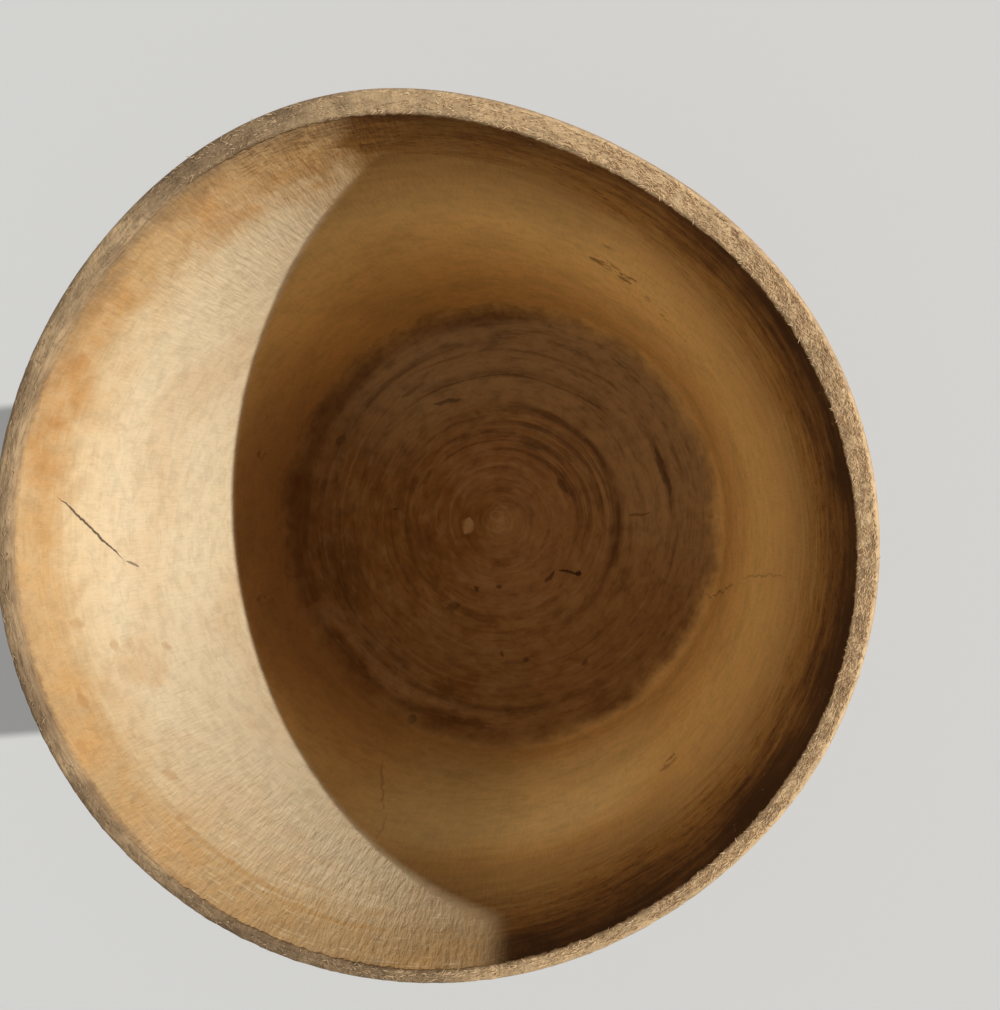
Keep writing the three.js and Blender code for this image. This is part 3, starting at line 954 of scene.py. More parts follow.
    def material(self, effects: Effects) -> bpy.types.Material:
        """Builds the material.

        Args:
            effects: The shared node groups.

        Returns:
            The cup's material.
        """
        material, wiring, shader = new_material("cup_wood")
        surface = CupSurface(wiring, effects, self.rim_height)
        in_hollow = wiring.step(wiring.attribute("hollow"), 0.3, 0.7)
        ragged = wiring.scaled(wiring.noise(surface.position, 1500.0, 2.0), 0.9, -0.45)
        left_side = surface.side(178.0, 0.30, 0.85)
        on_lip = wiring.step(wiring.plus(wiring.attribute("lip"), ragged), 0.15, 0.55)
        down = wiring.scaled(ragged, 0.9 * MM, surface.depth)
        edge = wiring.times(left_side, wiring.step(down, *self.worn_edge))
        on_lip = wiring.larger(on_lip, wiring.times(edge, in_hollow))
        on_floor = self._on_floor(surface)
        inside = wiring.mix(on_floor, self._hollow(surface), self._floor(surface))
        colour = wiring.mix(in_hollow, self._outside(surface), inside)
        wiring.feed(shader.inputs["Base Color"], wiring.mix(on_lip, colour, self._lip(surface)))
        bare = wiring.larger(on_lip, in_hollow)
        rough = wiring.scaled(bare, self.bare_roughness, self.roughness)
        rough = wiring.scaled(wiring.minus(surface.fibre, 0.5), self.roughness_swing, rough)
        wiring.feed(shader.inputs["Roughness"], rough)
        wiring.feed(shader.inputs["Normal"], self._relief(surface, on_lip, on_floor))
        shader.inputs["Specular IOR Level"].default_value = self.gloss
        return material

    def _on_floor(self, surface: CupSurface) -> Socket:
        """Mask of the dark floor, with its ragged edge in the hollow's corner."""
        wiring = surface.wiring
        broad = wiring.times(wiring.minus(surface.blotch, 0.5), 4.0 * MM)
        reach = wiring.scaled(surface.side(135.0, 0.0, 0.9), 3.0 * MM, 1.2 * MM)
        fine = wiring.times(wiring.minus(surface.mottle, 0.5), reach)
        edge = wiring.plus(surface.depth, wiring.plus(broad, fine))
        climb = wiring.scaled(surface.cosine(160.0), 1.8 * MM, 5.6 * MM)
        start = wiring.minus(self.depth_of_floor, climb)
        return wiring.step(edge, start, self.depth_of_floor - 0.6 * MM)

    def _hollow(self, surface: CupSurface) -> Socket:
        """Colour of the wall inside the cup: painted shade on one side and painted light on the
        other, split where the key light's shadow falls.
        """
        wiring = surface.wiring
        drift = wiring.minus(surface.lines(1.0 * MM, 7.0 * MM), 0.5)
        warm, pale = self._warm(surface, drift), self._pale(surface, drift)
        # Painted light over painted shade: the sunlit copy where the key light reaches over the
        # lip, the shaded copy elsewhere.
        colour = wiring.mix(self._sunlit_mask(surface), warm, pale)
        colour = surface.darker(colour, surface.mottle, 0.42, 0.66, 0.12)
        colour = surface.darker(colour, surface.fibre, 0.42, 0.70, 0.08)
        colour = surface.darker(colour, surface.lines(0.28 * MM, 5.0 * MM), 0.50, 0.72, 0.06)
        flecks = surface.spots(surface.position, 5.5 * MM, 0.42 * MM, 0.22)
        lower = wiring.step(surface.depth, *self.flecks_from)
        colour = wiring.tint(colour, Ink.FLECK.value, flecks, lower, 0.30)
        return surface.marked(colour, self.wall_marks)

    def _sunlit_mask(self, surface: CupSurface) -> Socket:
        """Mask of the side that low light reaches over the opposite side of the lip."""
        wiring = surface.wiring
        inward = surface.side(90.0, -0.10, 0.85)
        lip_radius = wiring.scaled(inward, -self.lip_inward, self.lip_radius)
        lit = surface.sunlit_depth(self.light_bearing, self.light_slope, lip_radius)
        past = wiring.minus(surface.depth, lit)
        lit_side = surface.side(self.lit_middle, 0.06, -0.04)
        return wiring.times(lit_side, wiring.step(past, *self.sunlit_edge))

    def _warm(self, surface: CupSurface, drift: Socket) -> Socket:
        """Colour of the shaded side, painted shade with painted bounce light, from the dark band
        under the lip down to the floor.
        """
        wiring, depth = surface.wiring, surface.depth
        tilt = wiring.scaled(surface.side(95.0, 0.35, 1.0), 0.70, 0.90)
        cloudy = wiring.scaled(surface.blotch, 6.0 * MM, -3.0 * MM)
        at_top = surface.side(85.0, 0.55, 0.98)
        under_top = wiring.times(at_top, wiring.step(depth, *self.under_lip))
        cloudy = wiring.scaled(under_top, 2.6 * MM, cloudy)
        cloudy = wiring.scaled(surface.mottle, 4.0 * MM, wiring.minus(cloudy, 2.0 * MM))
        band = wiring.scaled(depth, tilt, wiring.scaled(drift, 7.0 * MM, cloudy))
        shaded_tones = wiring.ramp(band, self.depth_of_floor, self.shaded_tones)
        # Painted bounce light: the deep wall brighter on the right, across from the sunlit wall.
        open_side = surface.side(-20.0, -0.55, 0.35)
        shaded_tones = wiring.tint(shaded_tones, self.bounce_light, open_side, wiring.step(band, *self.bounce_light_from))
        # Painted bounce light low on the wall at the bottom.
        lowest = wiring.times(surface.side(-80.0, 0.80, 0.98), 0.90)
        shelf = wiring.times(wiring.step(band, *self.shelf_from), wiring.step(band, *self.shelf_to))
        shaded_tones = wiring.tint(shaded_tones, self.low_bounce_light, lowest, shelf)
        # Painted shade: darker at the top, near the lip at both ends of the shadow, and at the
        # bottom.
        shaded_tones = surface.darker(shaded_tones, surface.cosine(94.0), 0.78, 0.98, 0.08)
        ends = wiring.larger(surface.side(94.0, 0.74, 0.98), surface.side(-78.0, 0.80, 0.98))
        ends = wiring.times(ends, wiring.step(depth, *self.dark_ends))
        shaded_tones = surface.darker(shaded_tones, ends, 0.0, 1.0, 0.16)
        shaded_tones = surface.darker(shaded_tones, surface.cosine(-106.0), 0.84, 0.985, 0.24)
        # Painted shade: the deep wall on the left below the shadow's edge, and the whole left side
        # darker.
        left = surface.side(190.0, 0.40, 0.95)
        shaded_tones = wiring.tint(shaded_tones, self.shady, left, wiring.step(depth, *self.shady_from))
        shaded_tones = surface.darker(shaded_tones, surface.cosine(186.0), -0.40, 0.30, 0.14)
        shaded_tones = surface.darker(shaded_tones, surface.blotch, 0.40, 0.75, 0.14)
        return self._strokes(surface, shaded_tones, band)

    def _pale(self, surface: CupSurface, drift: Socket) -> Socket:
        """Colour of the side that the key light reaches: a paler copy of the wood, painted light.
        """
        wiring, depth = surface.wiring, surface.depth
        band = wiring.scaled(drift, 5.0 * MM, depth)
        pale = wiring.ramp(band, self.depth_of_floor, self.sunlit_tones)
        blush = wiring.step(wiring.noise(surface.position, 62.0, 4.0, 0.6), 0.44, 0.66)
        pale = wiring.tint(pale, self.blush, blush, 0.38)
        pale = surface.darker(pale, surface.cosine(-112.0), 0.35, 0.95, 0.15)
        pale = self._brushed(surface, self._stained(surface, pale))
        off_tip = wiring.minus(1.0, surface.side(106.0, 0.955, 0.992))
        tipped = wiring.scaled(off_tip, 16.0 * MM, depth)
        return self._strokes(surface, pale, wiring.plus(tipped, 4.0 * MM))

    def _stained(self, surface: CupSurface, colour: Socket) -> Socket:
        """Adds the orange stains under the lip, and brown soil at the upper left of the lip."""
        wiring = surface.wiring
        wide = wiring.noise(surface.position, 58.0, 5.0, 0.62)
        upper_left = surface.side(126.0, 0.62, 0.97)
        shift = wiring.scaled(wide, -34.0 * MM, wiring.times(upper_left, -5.0 * MM))
        lower = wiring.times(surface.side(-112.0, 0.70, 0.97), 4.0 * MM)
        below = wiring.plus(wiring.plus(surface.depth, lower), wiring.plus(shift, 18.5 * MM))
        near = wiring.step(below, 9.0 * MM, -1.0 * MM)
        patches = wiring.noise(surface.position, 210.0, 4.0, 0.62)
        dense = wiring.scaled(wiring.step(patches, 0.42, 0.62), 0.60, 0.22)
        colour = wiring.tint(colour, self.stain, near, dense)
        cloudy = wiring.times(wiring.minus(wide, 0.5), 9.0 * MM)
        for mark in self.stains:
            mask = surface.wall_mask(mark, cloudy)
            colour = wiring.tint(colour, mark.ink.value, mask, mark.strength, dense)
        closer = wiring.step(below, 5.0 * MM, -3.0 * MM)
        burnt = wiring.step(wiring.noise(surface.position, 330.0, 3.0, 0.6, 0.6), 0.52, 0.70)
        colour = wiring.tint(colour, self.tide, closer, burnt, 0.50)
        soil_and_shade = wiring.minus(wiring.scaled(patches, 9.0 * MM, -2.6 * MM), surface.depth)
        soil_and_shade = wiring.step(soil_and_shade, -1.6 * MM, 1.6 * MM)
        return wiring.tint(colour, self.soil, soil_and_shade, upper_left, 0.75)

    def _brushed(self, surface: CupSurface, colour: Socket) -> Socket:
        """Adds the cross grain, the clouds and the pale scratches of the faded side."""
        wiring = surface.wiring
        upright = wiring.step(surface.fibres(0.26 * MM, 4.5 * MM), 0.46, 0.66)
        colour = wiring.tint(colour, self.blush, upright, 0.12)
        clouds = wiring.step(wiring.noise(surface.position, 260.0, 4.0, 0.6, 0.8), 0.46, 0.66)
        near_lip = wiring.scaled(wiring.step(surface.depth, *self.cloudy_to), 0.20, 0.09)
        colour = wiring.tint(colour, self.stain, clouds, near_lip)
        scratches = wiring.step(surface.lines(0.36 * MM, 2.6 * MM), 0.56, 0.72)
        lower = wiring.scaled(surface.side(-104.0, 0.82, 0.97), 0.22, 0.07)
        return wiring.tint(colour, self.scratch, scratches, lower)

    def _strokes(self, surface: CupSurface, colour: Socket, band: Socket) -> Socket:
        """Adds the short dark strokes of grime in the band under the lip."""
        wiring = surface.wiring
        short = wiring.step(surface.lines(0.24 * MM, 1.1 * MM), 0.53, 0.64)
        long = wiring.step(surface.lines(0.42 * MM, 3.4 * MM), 0.54, 0.68)
        strokes = wiring.larger(short, wiring.times(long, 0.7))
        near_lip = wiring.step(band, *self.grime_band)
        return wiring.tint(colour, self.grime, near_lip, strokes, 0.62)

    def _floor(self, surface: CupSurface) -> Socket:
        """Colour of the end grain on the cup's floor."""
        wiring = surface.wiring
        wavy = wiring.scaled(surface.blotch, 12.0 * MM, surface.radius)
        colour = wiring.mix(wiring.step(wavy, *self.heart_edge), self.heart, self.floor)
        rusty = wiring.scaled(surface.cosine(172.0), 0.22, surface.blotch)
        colour = wiring.tint(colour, self.floor_rust, wiring.step(rusty, 0.44, 0.76))
        grey = wiring.step(wiring.scaled(surface.blotch, 0.5, surface.cosine(66.0)), 0.05, 0.85)
        outer = wiring.step(surface.radius, *self.grey_from)
        colour = wiring.tint(colour, self.floor_grey, grey, outer)
        stained = wiring.scaled(surface.cosine(-165.0), 0.10, surface.blotch)
        colour = wiring.tint(colour, self.floor_dark, wiring.step(stained, 0.55, 0.76), 0.30)
        colour = self._floor_rings(surface, colour)
        arcs = surface.lines(1.5 * MM, 3.6 * MM)
        colour = wiring.tint(colour, self.floor_light, wiring.step(arcs, 0.50, 0.68), 0.22)
        colour = surface.darker(colour, arcs, 0.48, 0.30, 0.22)
        colour = surface.darker(colour, surface.lines(0.55 * MM, 1.6 * MM), 0.50, 0.70, 0.12)
        colour = surface.darker(colour, surface.mottle, 0.44, 0.68, 0.15)
        pits = surface.spots(surface.level, 4.6 * MM, 0.36 * MM, 0.16)
        colour = wiring.tint(colour, Ink.PIT.value, pits, 0.7)
        outer = wiring.scaled(surface.blotch, 3.0 * MM, surface.radius)
        upper_left = surface.side(132.0, 0.20, 0.85)
        outer = wiring.scaled(upper_left, 1.8 * MM, outer)
        dirty = wiring.scaled(upper_left, 0.42, 0.35)
        colour = wiring.tint(colour, self.dirt, wiring.step(outer, *self.dirt_from), dirty)
        return surface.floor_marked(self._pith(surface, colour), self.floor_marks)

    def _floor_rings(self, surface: CupSurface, colour: Socket) -> Socket:
        """Adds light and dark to the floor's turned rings, and painted highlight and shade on their
        relief.
        """
        wiring, light, dark = surface.wiring, self.floor_light, self.floor_dark
        patches = wiring.noise(surface.position, 70.0, 2.0)
        ring = surface.rings(1.1 * MM, 3.0 * MM)
        low, high = wiring.step(ring, 0.46, 0.28), wiring.step(ring, 0.56, 0.72)
        colour = wiring.tint(colour, dark, low, wiring.step(patches, 0.40, 0.62), 0.40)
        colour = wiring.tint(colour, light, high, wiring.step(patches, 0.62, 0.40), 0.24)
        fine = surface.lines(0.85 * MM, 7.0 * MM)
        upper = wiring.scaled(surface.cosine(60.0), 0.13, 0.17)
        colour = wiring.tint(colour, light, wiring.step(fine, 0.55, 0.70), upper)
        colour = wiring.tint(colour, dark, wiring.step(fine, 0.46, 0.32), upper)
        # Height of the turned relief, for its painted highlight and shade below.
        relief = wiring.times(wiring.attribute("relief"), wiring.step(surface.blotch, 0.20, 0.50))
        arcs = wiring.step(surface.lines(0.9 * MM, 26.0 * MM), 0.50, 0.38)
        nearby = wiring.near(surface.radius, 15.5 * MM, 6.0 * MM, 2.0 * MM)
        colour = wiring.tint(colour, dark, arcs, nearby, surface.side(48.0, 0.25, 0.90), 0.60)
        lower = surface.side(-122.0, 0.78, 0.94)
        wavy = wiring.scaled(surface.blotch, 3.0 * MM, surface.radius)
        ridge = wiring.near(wavy, 33.6 * MM, 1.1 * MM, 0.3 * MM)
        colour = wiring.tint(colour, light, ridge, lower, 0.34)
        ditch = wiring.near(wavy, 35.6 * MM, 0.9 * MM, 0.2 * MM)
        colour = wiring.tint(colour, dark, ditch, lower, 0.45)
        # Painted highlight on the raised rings and painted shade in the grooves, by their height.
        colour = wiring.tint(colour, light, relief, 0.28)
        return wiring.tint(colour, dark, relief, -0.65)

    def _pith(self, surface: CupSurface, colour: Socket) -> Socket:
        """Adds the pale curls round the pith."""
        wiring = surface.wiring
        split = wiring.split(surface.position)
        across = wiring.minus(split["X"], self.pith[0])
        down = wiring.minus(split["Y"], self.pith[1])
        away = wiring.math("SQRT", wiring.scaled(across, across, wiring.times(down, down)))
        curl = wiring.noise(surface.position, 480.0, 1.0)
        away = wiring.scaled(curl, 2.6 * MM, wiring.minus(away, 1.3 * MM))
        inner = wiring.near(away, 0.8 * MM, 0.30 * MM, 0.06 * MM)
        outer = wiring.near(away, 2.2 * MM, 0.30 * MM, 0.06 * MM)
        curls = wiring.larger(inner, wiring.times(outer, 0.8))
        return wiring.tint(colour, Ink.PALE.value, curls, 0.20)

    def _lip(self, surface: CupSurface) -> Socket:
        """Colour of the fuzzy end grain on the lip, with painted shade on its left, top and bottom.
        """
        wiring = surface.wiring
        # Painted shade: the lip darker towards the left and lower left, away from the key light.
        left_side = wiring.larger(surface.side(165.0, 0.20, 0.75), surface.side(-118.0, 0.60, 0.95))
        dull = wiring.step(wiring.scaled(left_side, 0.38, surface.blotch), 0.50, 0.98)
        colour = wiring.mix(dull, self.lip, self.lip_dark)
        # Painted shade: the lip darker at its top and at its bottom.
        colour = surface.darker(colour, surface.cosine(-88.0), 0.60, 0.96, 0.16)
        colour = surface.darker(colour, surface.cosine(102.0), 0.80, 0.98, 0.14)
        colour = surface.darker(colour, surface.mottle, 0.44, 0.64, 0.13)
        colour = surface.darker(colour, surface.lines(0.34 * MM, 2.0 * MM), 0.54, 0.38, 0.22)
        return surface.darker(colour, surface.lines(0.22 * MM, 1.0 * MM), 0.54, 0.68, 0.18)

    def _outside(self, surface: CupSurface) -> Socket:
        """Colour of the smooth wood outside the cup."""
        wiring = surface.wiring
        ringed = wiring.times(wiring.step(surface.rings(1.3 * MM, 7.0 * MM), 0.62, 0.34), 0.65)
        colour = wiring.mix(ringed, self.outside, self.outside_dark)
        colour = surface.darker(colour, surface.fibres(1.6 * MM, 22.0 * MM), 0.35, 0.7, 0.18)
        handled = wiring.noise(surface.position, 34.0, 4.0, 0.6)
        colour = surface.darker(colour, handled, 0.42, 0.68, 0.18)
        scuffs = surface.spots(surface.position, 8.0 * MM, 0.5 * MM, 0.25)
        colour = wiring.tint(colour, self.outside_dark, scuffs, 0.45)
        return surface.darker(colour, surface.fibre, 0.4, 0.75, 0.16)

    def _relief(self, surface: CupSurface, on_lip: Socket, on_floor: Socket) -> Socket:
        """Normal of the fibres, the tool's lines and the lip's fuzz."""
        wiring = surface.wiring
        upper_left = wiring.times(surface.side(112.0, 0.66, 0.97), 0.7)
        torn = wiring.larger(surface.side(-112.0, 0.60, 0.96), upper_left)
        torn = wiring.times(torn, wiring.step(surface.depth, *self.torn_to))
        ridges = wiring.times(surface.fibres(0.55 * MM, 3.6 * MM), torn, self.ridge_height)
        height = wiring.scaled(surface.lines(0.28 * MM, 5.0 * MM), self.line_height, ridges)
        height = wiring.scaled(surface.fibre, self.fibre_height, height)
        height = wiring.scaled(surface.mottle, self.mottle_height, height)
        fuzz = wiring.noise(surface.position, 1500.0, 3.0, 0.62, 0.6)
        fuzz = wiring.scaled(surface.lines(0.34 * MM, 1.7 * MM), 1.3, fuzz)
        rough = wiring.times(wiring.step(surface.depth, *self.rough_to), 0.08)
        rough = wiring.scaled(torn, 0.10, rough)
        fuzz = wiring.times(fuzz, wiring.larger(on_lip, rough), self.fuzz_height)
        ring = wiring.times(surface.rings(1.1 * MM, 4.0 * MM), on_floor, self.floor_height_noise)
        return wiring.bump(wiring.plus(height, wiring.plus(fuzz, ring)))


@dataclass(frozen=True)
class WaxedWood:
    """Turned and waxed wood of the stem, the foot and the wedge."""

    name: str
    light: Colour = (0.56, 0.36, 0.20)
    dark: Colour = (0.38, 0.22, 0.11)
    rubbed: Colour = (0.66, 0.46, 0.28)
    grime: Colour = (0.16, 0.09, 0.05)
    ring_spacing: float = 1.4 * MM
    ring_wander: float = 6.0 * MM
    fibre_width: float = 0.25 * MM
    fibre_length: float = 5.0 * MM
    line_spacing: float = 0.4 * MM
    line_length: float = 12.0 * MM
    relief: float = 0.03 * MM
    roughness: float = 0.42
    roughness_swing: float = 0.18

    def material(self, effects: Effects) -> bpy.types.Material:
        """Builds the material.

        Args:
            effects: The shared node groups.

        Returns:
            The material of one turned piece.
        """
        material, wiring, shader = new_material(self.name)
        place = {"Position": wiring.position()}
        grown = {"Spacing": self.ring_spacing, "Wander": self.ring_wander}
        streaks = {"Width": self.fibre_width, "Length": self.fibre_length}
        turned = {"Spacing": self.line_spacing, "Length": self.line_length}
        rings = wiring.group(effects.rings, **place, **grown)
        fibre = wiring.group(effects.fibre, **place, **streaks)
        lines = wiring.group(effects.lines, **place, **turned)
        ring, streak, line = rings["Ring"], fibre["Streak"], lines["Line"]
        colour = wiring.mix(wiring.step(ring, 0.62, 0.36), self.light, self.dark)
        colour = wiring.tint(colour, self.dark, wiring.step(streak, 0.52, 0.75), 0.35)
        colour = wiring.tint(colour, self.rubbed, wiring.attribute("edge"), 0.55)
        colour = wiring.tint(colour, self.grime, wiring.attribute("groove"), 0.65)
        wiring.feed(shader.inputs["Base Color"], colour)
        least = self.roughness - self.roughness_swing / 2
        wiring.feed(shader.inputs["Roughness"], wiring.scaled(streak, self.roughness_swing, least))
        height = wiring.plus(wiring.times(streak, self.relief), wiring.times(line, self.relief))
        wiring.feed(shader.inputs["Normal"], wiring.bump(height))
        return material


@dataclass(frozen=True)
class FuzzWood:
    """Pale torn fibres on the lip, with painted shade on the side away from the key light."""

    light: Colour = (0.68, 0.475, 0.260)
    dark: Colour = (0.54, 0.365, 0.195)
    # Colour of the painted shade on the slivers' side away from the key light.
    soil_and_shade: Colour = (0.30, 0.20, 0.108)
    shaded_side: float = 190.0
    roughness: float = 0.9

    def material(self, effects: Effects) -> bpy.types.Material:
        """Builds the material of the slivers.

        Args:
            effects: The shared node groups.

        Returns:
            The slivers' material.
        """
        material, wiring, shader = new_material("lip_fuzz_wood")
        position = wiring.position()
        tone = wiring.step(wiring.noise(position, 500.0, 2.0), 0.35, 0.65)
        colour = wiring.mix(tone, self.dark, self.light)
        bearing = math.radians(self.shaded_side)
        side = wiring.group(effects.facing, Position=position, Angle=bearing)["Cosine"]
        # Painted shade on the slivers on the side away from the key light.
        colour = wiring.tint(colour, self.soil_and_shade, wiring.step(side, -0.20, 0.50), 0.85)
        wiring.feed(shader.inputs["Base Color"], colour)
        shader.inputs["Roughness"].default_value = self.roughness
        return material


# Pieces


@dataclass(frozen=True)
class Wave:
    """One swell round the dried lip, its angle in degrees."""

    count: int
    swell: float
    angle: float


@dataclass(frozen=True)
class FloorRing:
    """One turned ridge, or with a negative height a groove, that fades out round the floor.

    The bearing and the spread are in degrees, the lengths in millimetres.
    """

    radius: float
    width: float
    height: float
    bearing: float
    spread: float

    def relief(self, radius: np.ndarray, angle: np.ndarray) -> np.ndarray:
        """Height that the ring adds at points given by radius and angle."""
        away = np.degrees(np.arccos(np.cos(angle - math.radians(self.bearing))))
        fade = 0.5 + 0.5 * np.cos(np.pi * np.clip(away / self.spread, 0.0, 1.0))
        across = (radius - self.radius * MM) / (0.5 * (self.width * MM))
        return self.height * MM * fade * np.exp(-(across**2))


@dataclass
class Cup:
    """The turned cup, dried out of round, with its hollow off-centre."""

    rim_height: float
    collar_height: float
    rim_radius: float = 42.0 * MM
    rim_wall: float = 2.05 * MM
    rim_arris: float = 0.75 * MM
    inner_arris: float = 0.3 * MM
    hollow_depth: float = 73.5 * MM
    hollow_radius: float = 36.0 * MM
    body_wall: float = 2.9 * MM
    flare_length: float = 9.0 * MM
    hollow_corner: float = 5.5 * MM
    cup_corner: float = 16.0 * MM
    underside_rise: float = 1.0 * MM
    collar_length: float = 5.2 * MM
    collar_radius: float = 10.2 * MM
    collar_arris: float = 0.6 * MM
    collar_cove: float = 3.2 * MM
    mortise_radius: float = 6.7 * MM
    mortise_depth: float = 9.0 * MM
    hollow_offset: float = 0.58 * MM
    hollow_offset_angle: float = 265.0
    warp_fade: float = 1.5
    floor_rings: tuple[FloorRing, ...] = (
        FloorRing(33.2, 1.5, 0.30, -85.0, 85.0),
        FloorRing(31.6, 1.1, -0.26, -88.0, 95.0),
        FloorRing(31.4, 0.8, 0.16, 130.0, 60.0),
        FloorRing(30.2, 0.8, -0.16, 125.0, 60.0),
        FloorRing(28.0, 0.9, -0.16, 17.0, 30.0),
        FloorRing(25.0, 1.6, -0.10, 80.0, 90.0),
        FloorRing(20.6, 0.8, 0.12, 80.0, 80.0),
        FloorRing(19.3, 1.2, -0.22, 20.0, 130.0),
        FloorRing(17.9, 0.7, 0.16, -5.0, 100.0),
        FloorRing(16.4, 0.7, 0.14, 50.0, 80.0),
        FloorRing(14.9, 0.7, 0.14, 50.0, 85.0),
        FloorRing(13.4, 0.7, 0.12, 45.0, 85.0),
        FloorRing(8.8, 0.7, 0.12, 20.0, 75.0),
        FloorRing(6.2, 0.6, 0.10, 25.0, 80.0),
        FloorRing(4.6, 0.7, 0.12, 0.0, 110.0),
    )
    pip_radius: float = 1.5 * MM
    pip_height: float = 0.4 * MM
    waves: tuple[Wave, ...] = (
        Wave(2, 0.36 * MM, -34.0),
        Wave(3, 0.41 * MM, -5.0),
        Wave(4, 0.23 * MM, 10.0),
        Wave(5, 0.13 * MM, 33.0),
        Wave(6, 0.08 * MM, -18.0),
    )
    relief_unit: float = 0.16 * MM
    hand_turned: Point = (14.0 * MM, 0.12 * MM)
    torn_lip: Point = (0.9 * MM, 0.34 * MM)
    sides: int = 512
    floor_steps: int = 84
    hollow_steps: int = 40
    outside_steps: int = 14

    @property
    def floor_height(self) -> float:
        """Height of the hollow's floor."""
        return self.rim_height - self.hollow_depth

    def flare(self, amount: float, depth: float) -> float:
        """How far the flared lip stands out from the straight wall at a depth."""
        return amount * math.exp(-depth / self.flare_length)

    def hollow_at(self, depth: float) -> float:
        """Radius of the hollow at a depth below the rim."""
        lip = self.rim_radius - self.rim_wall - self.hollow_radius
        return self.hollow_radius + self.flare(lip, depth)

    def outside_at(self, depth: float) -> float:
        """Radius of the outside at a depth below the rim."""
        straight = self.hollow_radius + self.body_wall
        return straight + self.flare(self.rim_radius - straight, depth)

    def wall(
        self, radius_at: Callable[[float], float], start: float, end: float, steps: int
    ) -> Profile:
        """Points down a wall, closer together near the lip.

        Args:
            radius_at: Radius of the wall at a depth.
            start: First depth.
            end: Last depth.
            steps: Number of straight steps.

        Returns:
            The wall's points between the two ends, both left out.
        """
        depths = [start + (end - start) * (step / steps) ** 1.5 for step in range(1, steps)]
        return [(radius_at(depth), self.rim_height - depth) for depth in depths]

    def outside_profile(self) -> Profile:
        """Mortise, collar, rounded underside and outer wall, upwards to the lip."""
        bottom = self.collar_height + self.collar_length
        corner_z = bottom + self.underside_rise + self.cup_corner
        corner_r = self.outside_at(self.rim_height - corner_z) - self.cup_corner
        cove_r = self.collar_radius + self.collar_cove
        ceiling = self.collar_height + self.mortise_depth
        corner_depth = self.rim_height - corner_z
        wall = self.wall(self.outside_at, self.rim_arris, corner_depth, self.outside_steps)
        arris_r = self.outside_at(self.rim_arris) - self.rim_arris
        arris, lip = (self.collar_arris,) * 2, (self.rim_arris,) * 2
        collar_edge = (self.collar_radius - arris[0], self.collar_height + arris[1])
        return [
            (0.0, ceiling),
            (self.mortise_radius, ceiling),
            (self.mortise_radius, self.collar_height),
            *arc(collar_edge, arris, (-90, 0), 4),
            *arc((cove_r, bottom - self.collar_cove), (self.collar_cove,) * 2, (180, 90), 6),
            *arc((corner_r, corner_z), (self.cup_corner,) * 2, (-90, 0), 14),
            *reversed(wall),
            *arc((arris_r, self.rim_height - self.rim_arris), lip, (0, 90), 5),
        ]

    def hollow_profile(self) -> Profile:
        """Inner edge of the lip, hollow wall, rounded corner and ringed floor, to the axis."""
        corner_z = self.floor_height + self.hollow_corner
        corner_r = self.hollow_at(self.rim_height - corner_z) - self.hollow_corner
        corner_depth = self.rim_height - corner_z
        wall = self.wall(self.hollow_at, self.inner_arris, corner_depth, self.hollow_steps)
        arris_r = self.hollow_at(self.inner_arris) + self.inner_arris
        top = self.rim_height - self.inner_arris
        floor = [corner_r * (1 - step / self.floor_steps) for step in range(1, self.floor_steps)]
        return [
            *arc((arris_r, top), (self.inner_arris,) * 2, (90, 180), 3),
            *wall,
            *arc((corner_r, corner_z), (self.hollow_corner,) * 2, (0, -90), 9),
            *[(radius, self.floor_height) for radius in floor],
            (0.0, self.floor_height),
        ]

    def floor_relief(self, points: np.ndarray) -> np.ndarray:
        """Height of the turned rings above the floor's plane, at each point."""
        radius = np.hypot(points[:, 0], points[:, 1])
        angle = np.arctan2(points[:, 1], points[:, 0])
        on_floor = (np.abs(points[:, 2] - self.floor_height) < TINY) & (radius < self.hollow_radius)
        height = sum(ring.relief(radius, angle) for ring in self.floor_rings)
        pip = self.pip_height * np.exp(-((radius / self.pip_radius) ** 2))
        return np.where(on_floor, height + pip, 0.0)

    def profile(self) -> Profile:
        """The whole closed profile, from the mortise's ceiling round to the floor's centre."""
        outside, hollow = self.outside_profile(), self.hollow_profile()
        top = run(outside[-1], hollow[0], 7)[:-1]
        return [*outside, *top, *hollow]

    def warp(self, angle: np.ndarray, height: np.ndarray) -> np.ndarray:
        """Outward swell of the dried lip, full at the rim and gone at the floor."""
        share = np.clip((height - self.floor_height) / self.hollow_depth, 0.0, 1.0)
        swell = sum(w.swell * np.cos(w.count * (angle - math.radians(w.angle))) for w in self.waves)
        return share**self.warp_fade * swell

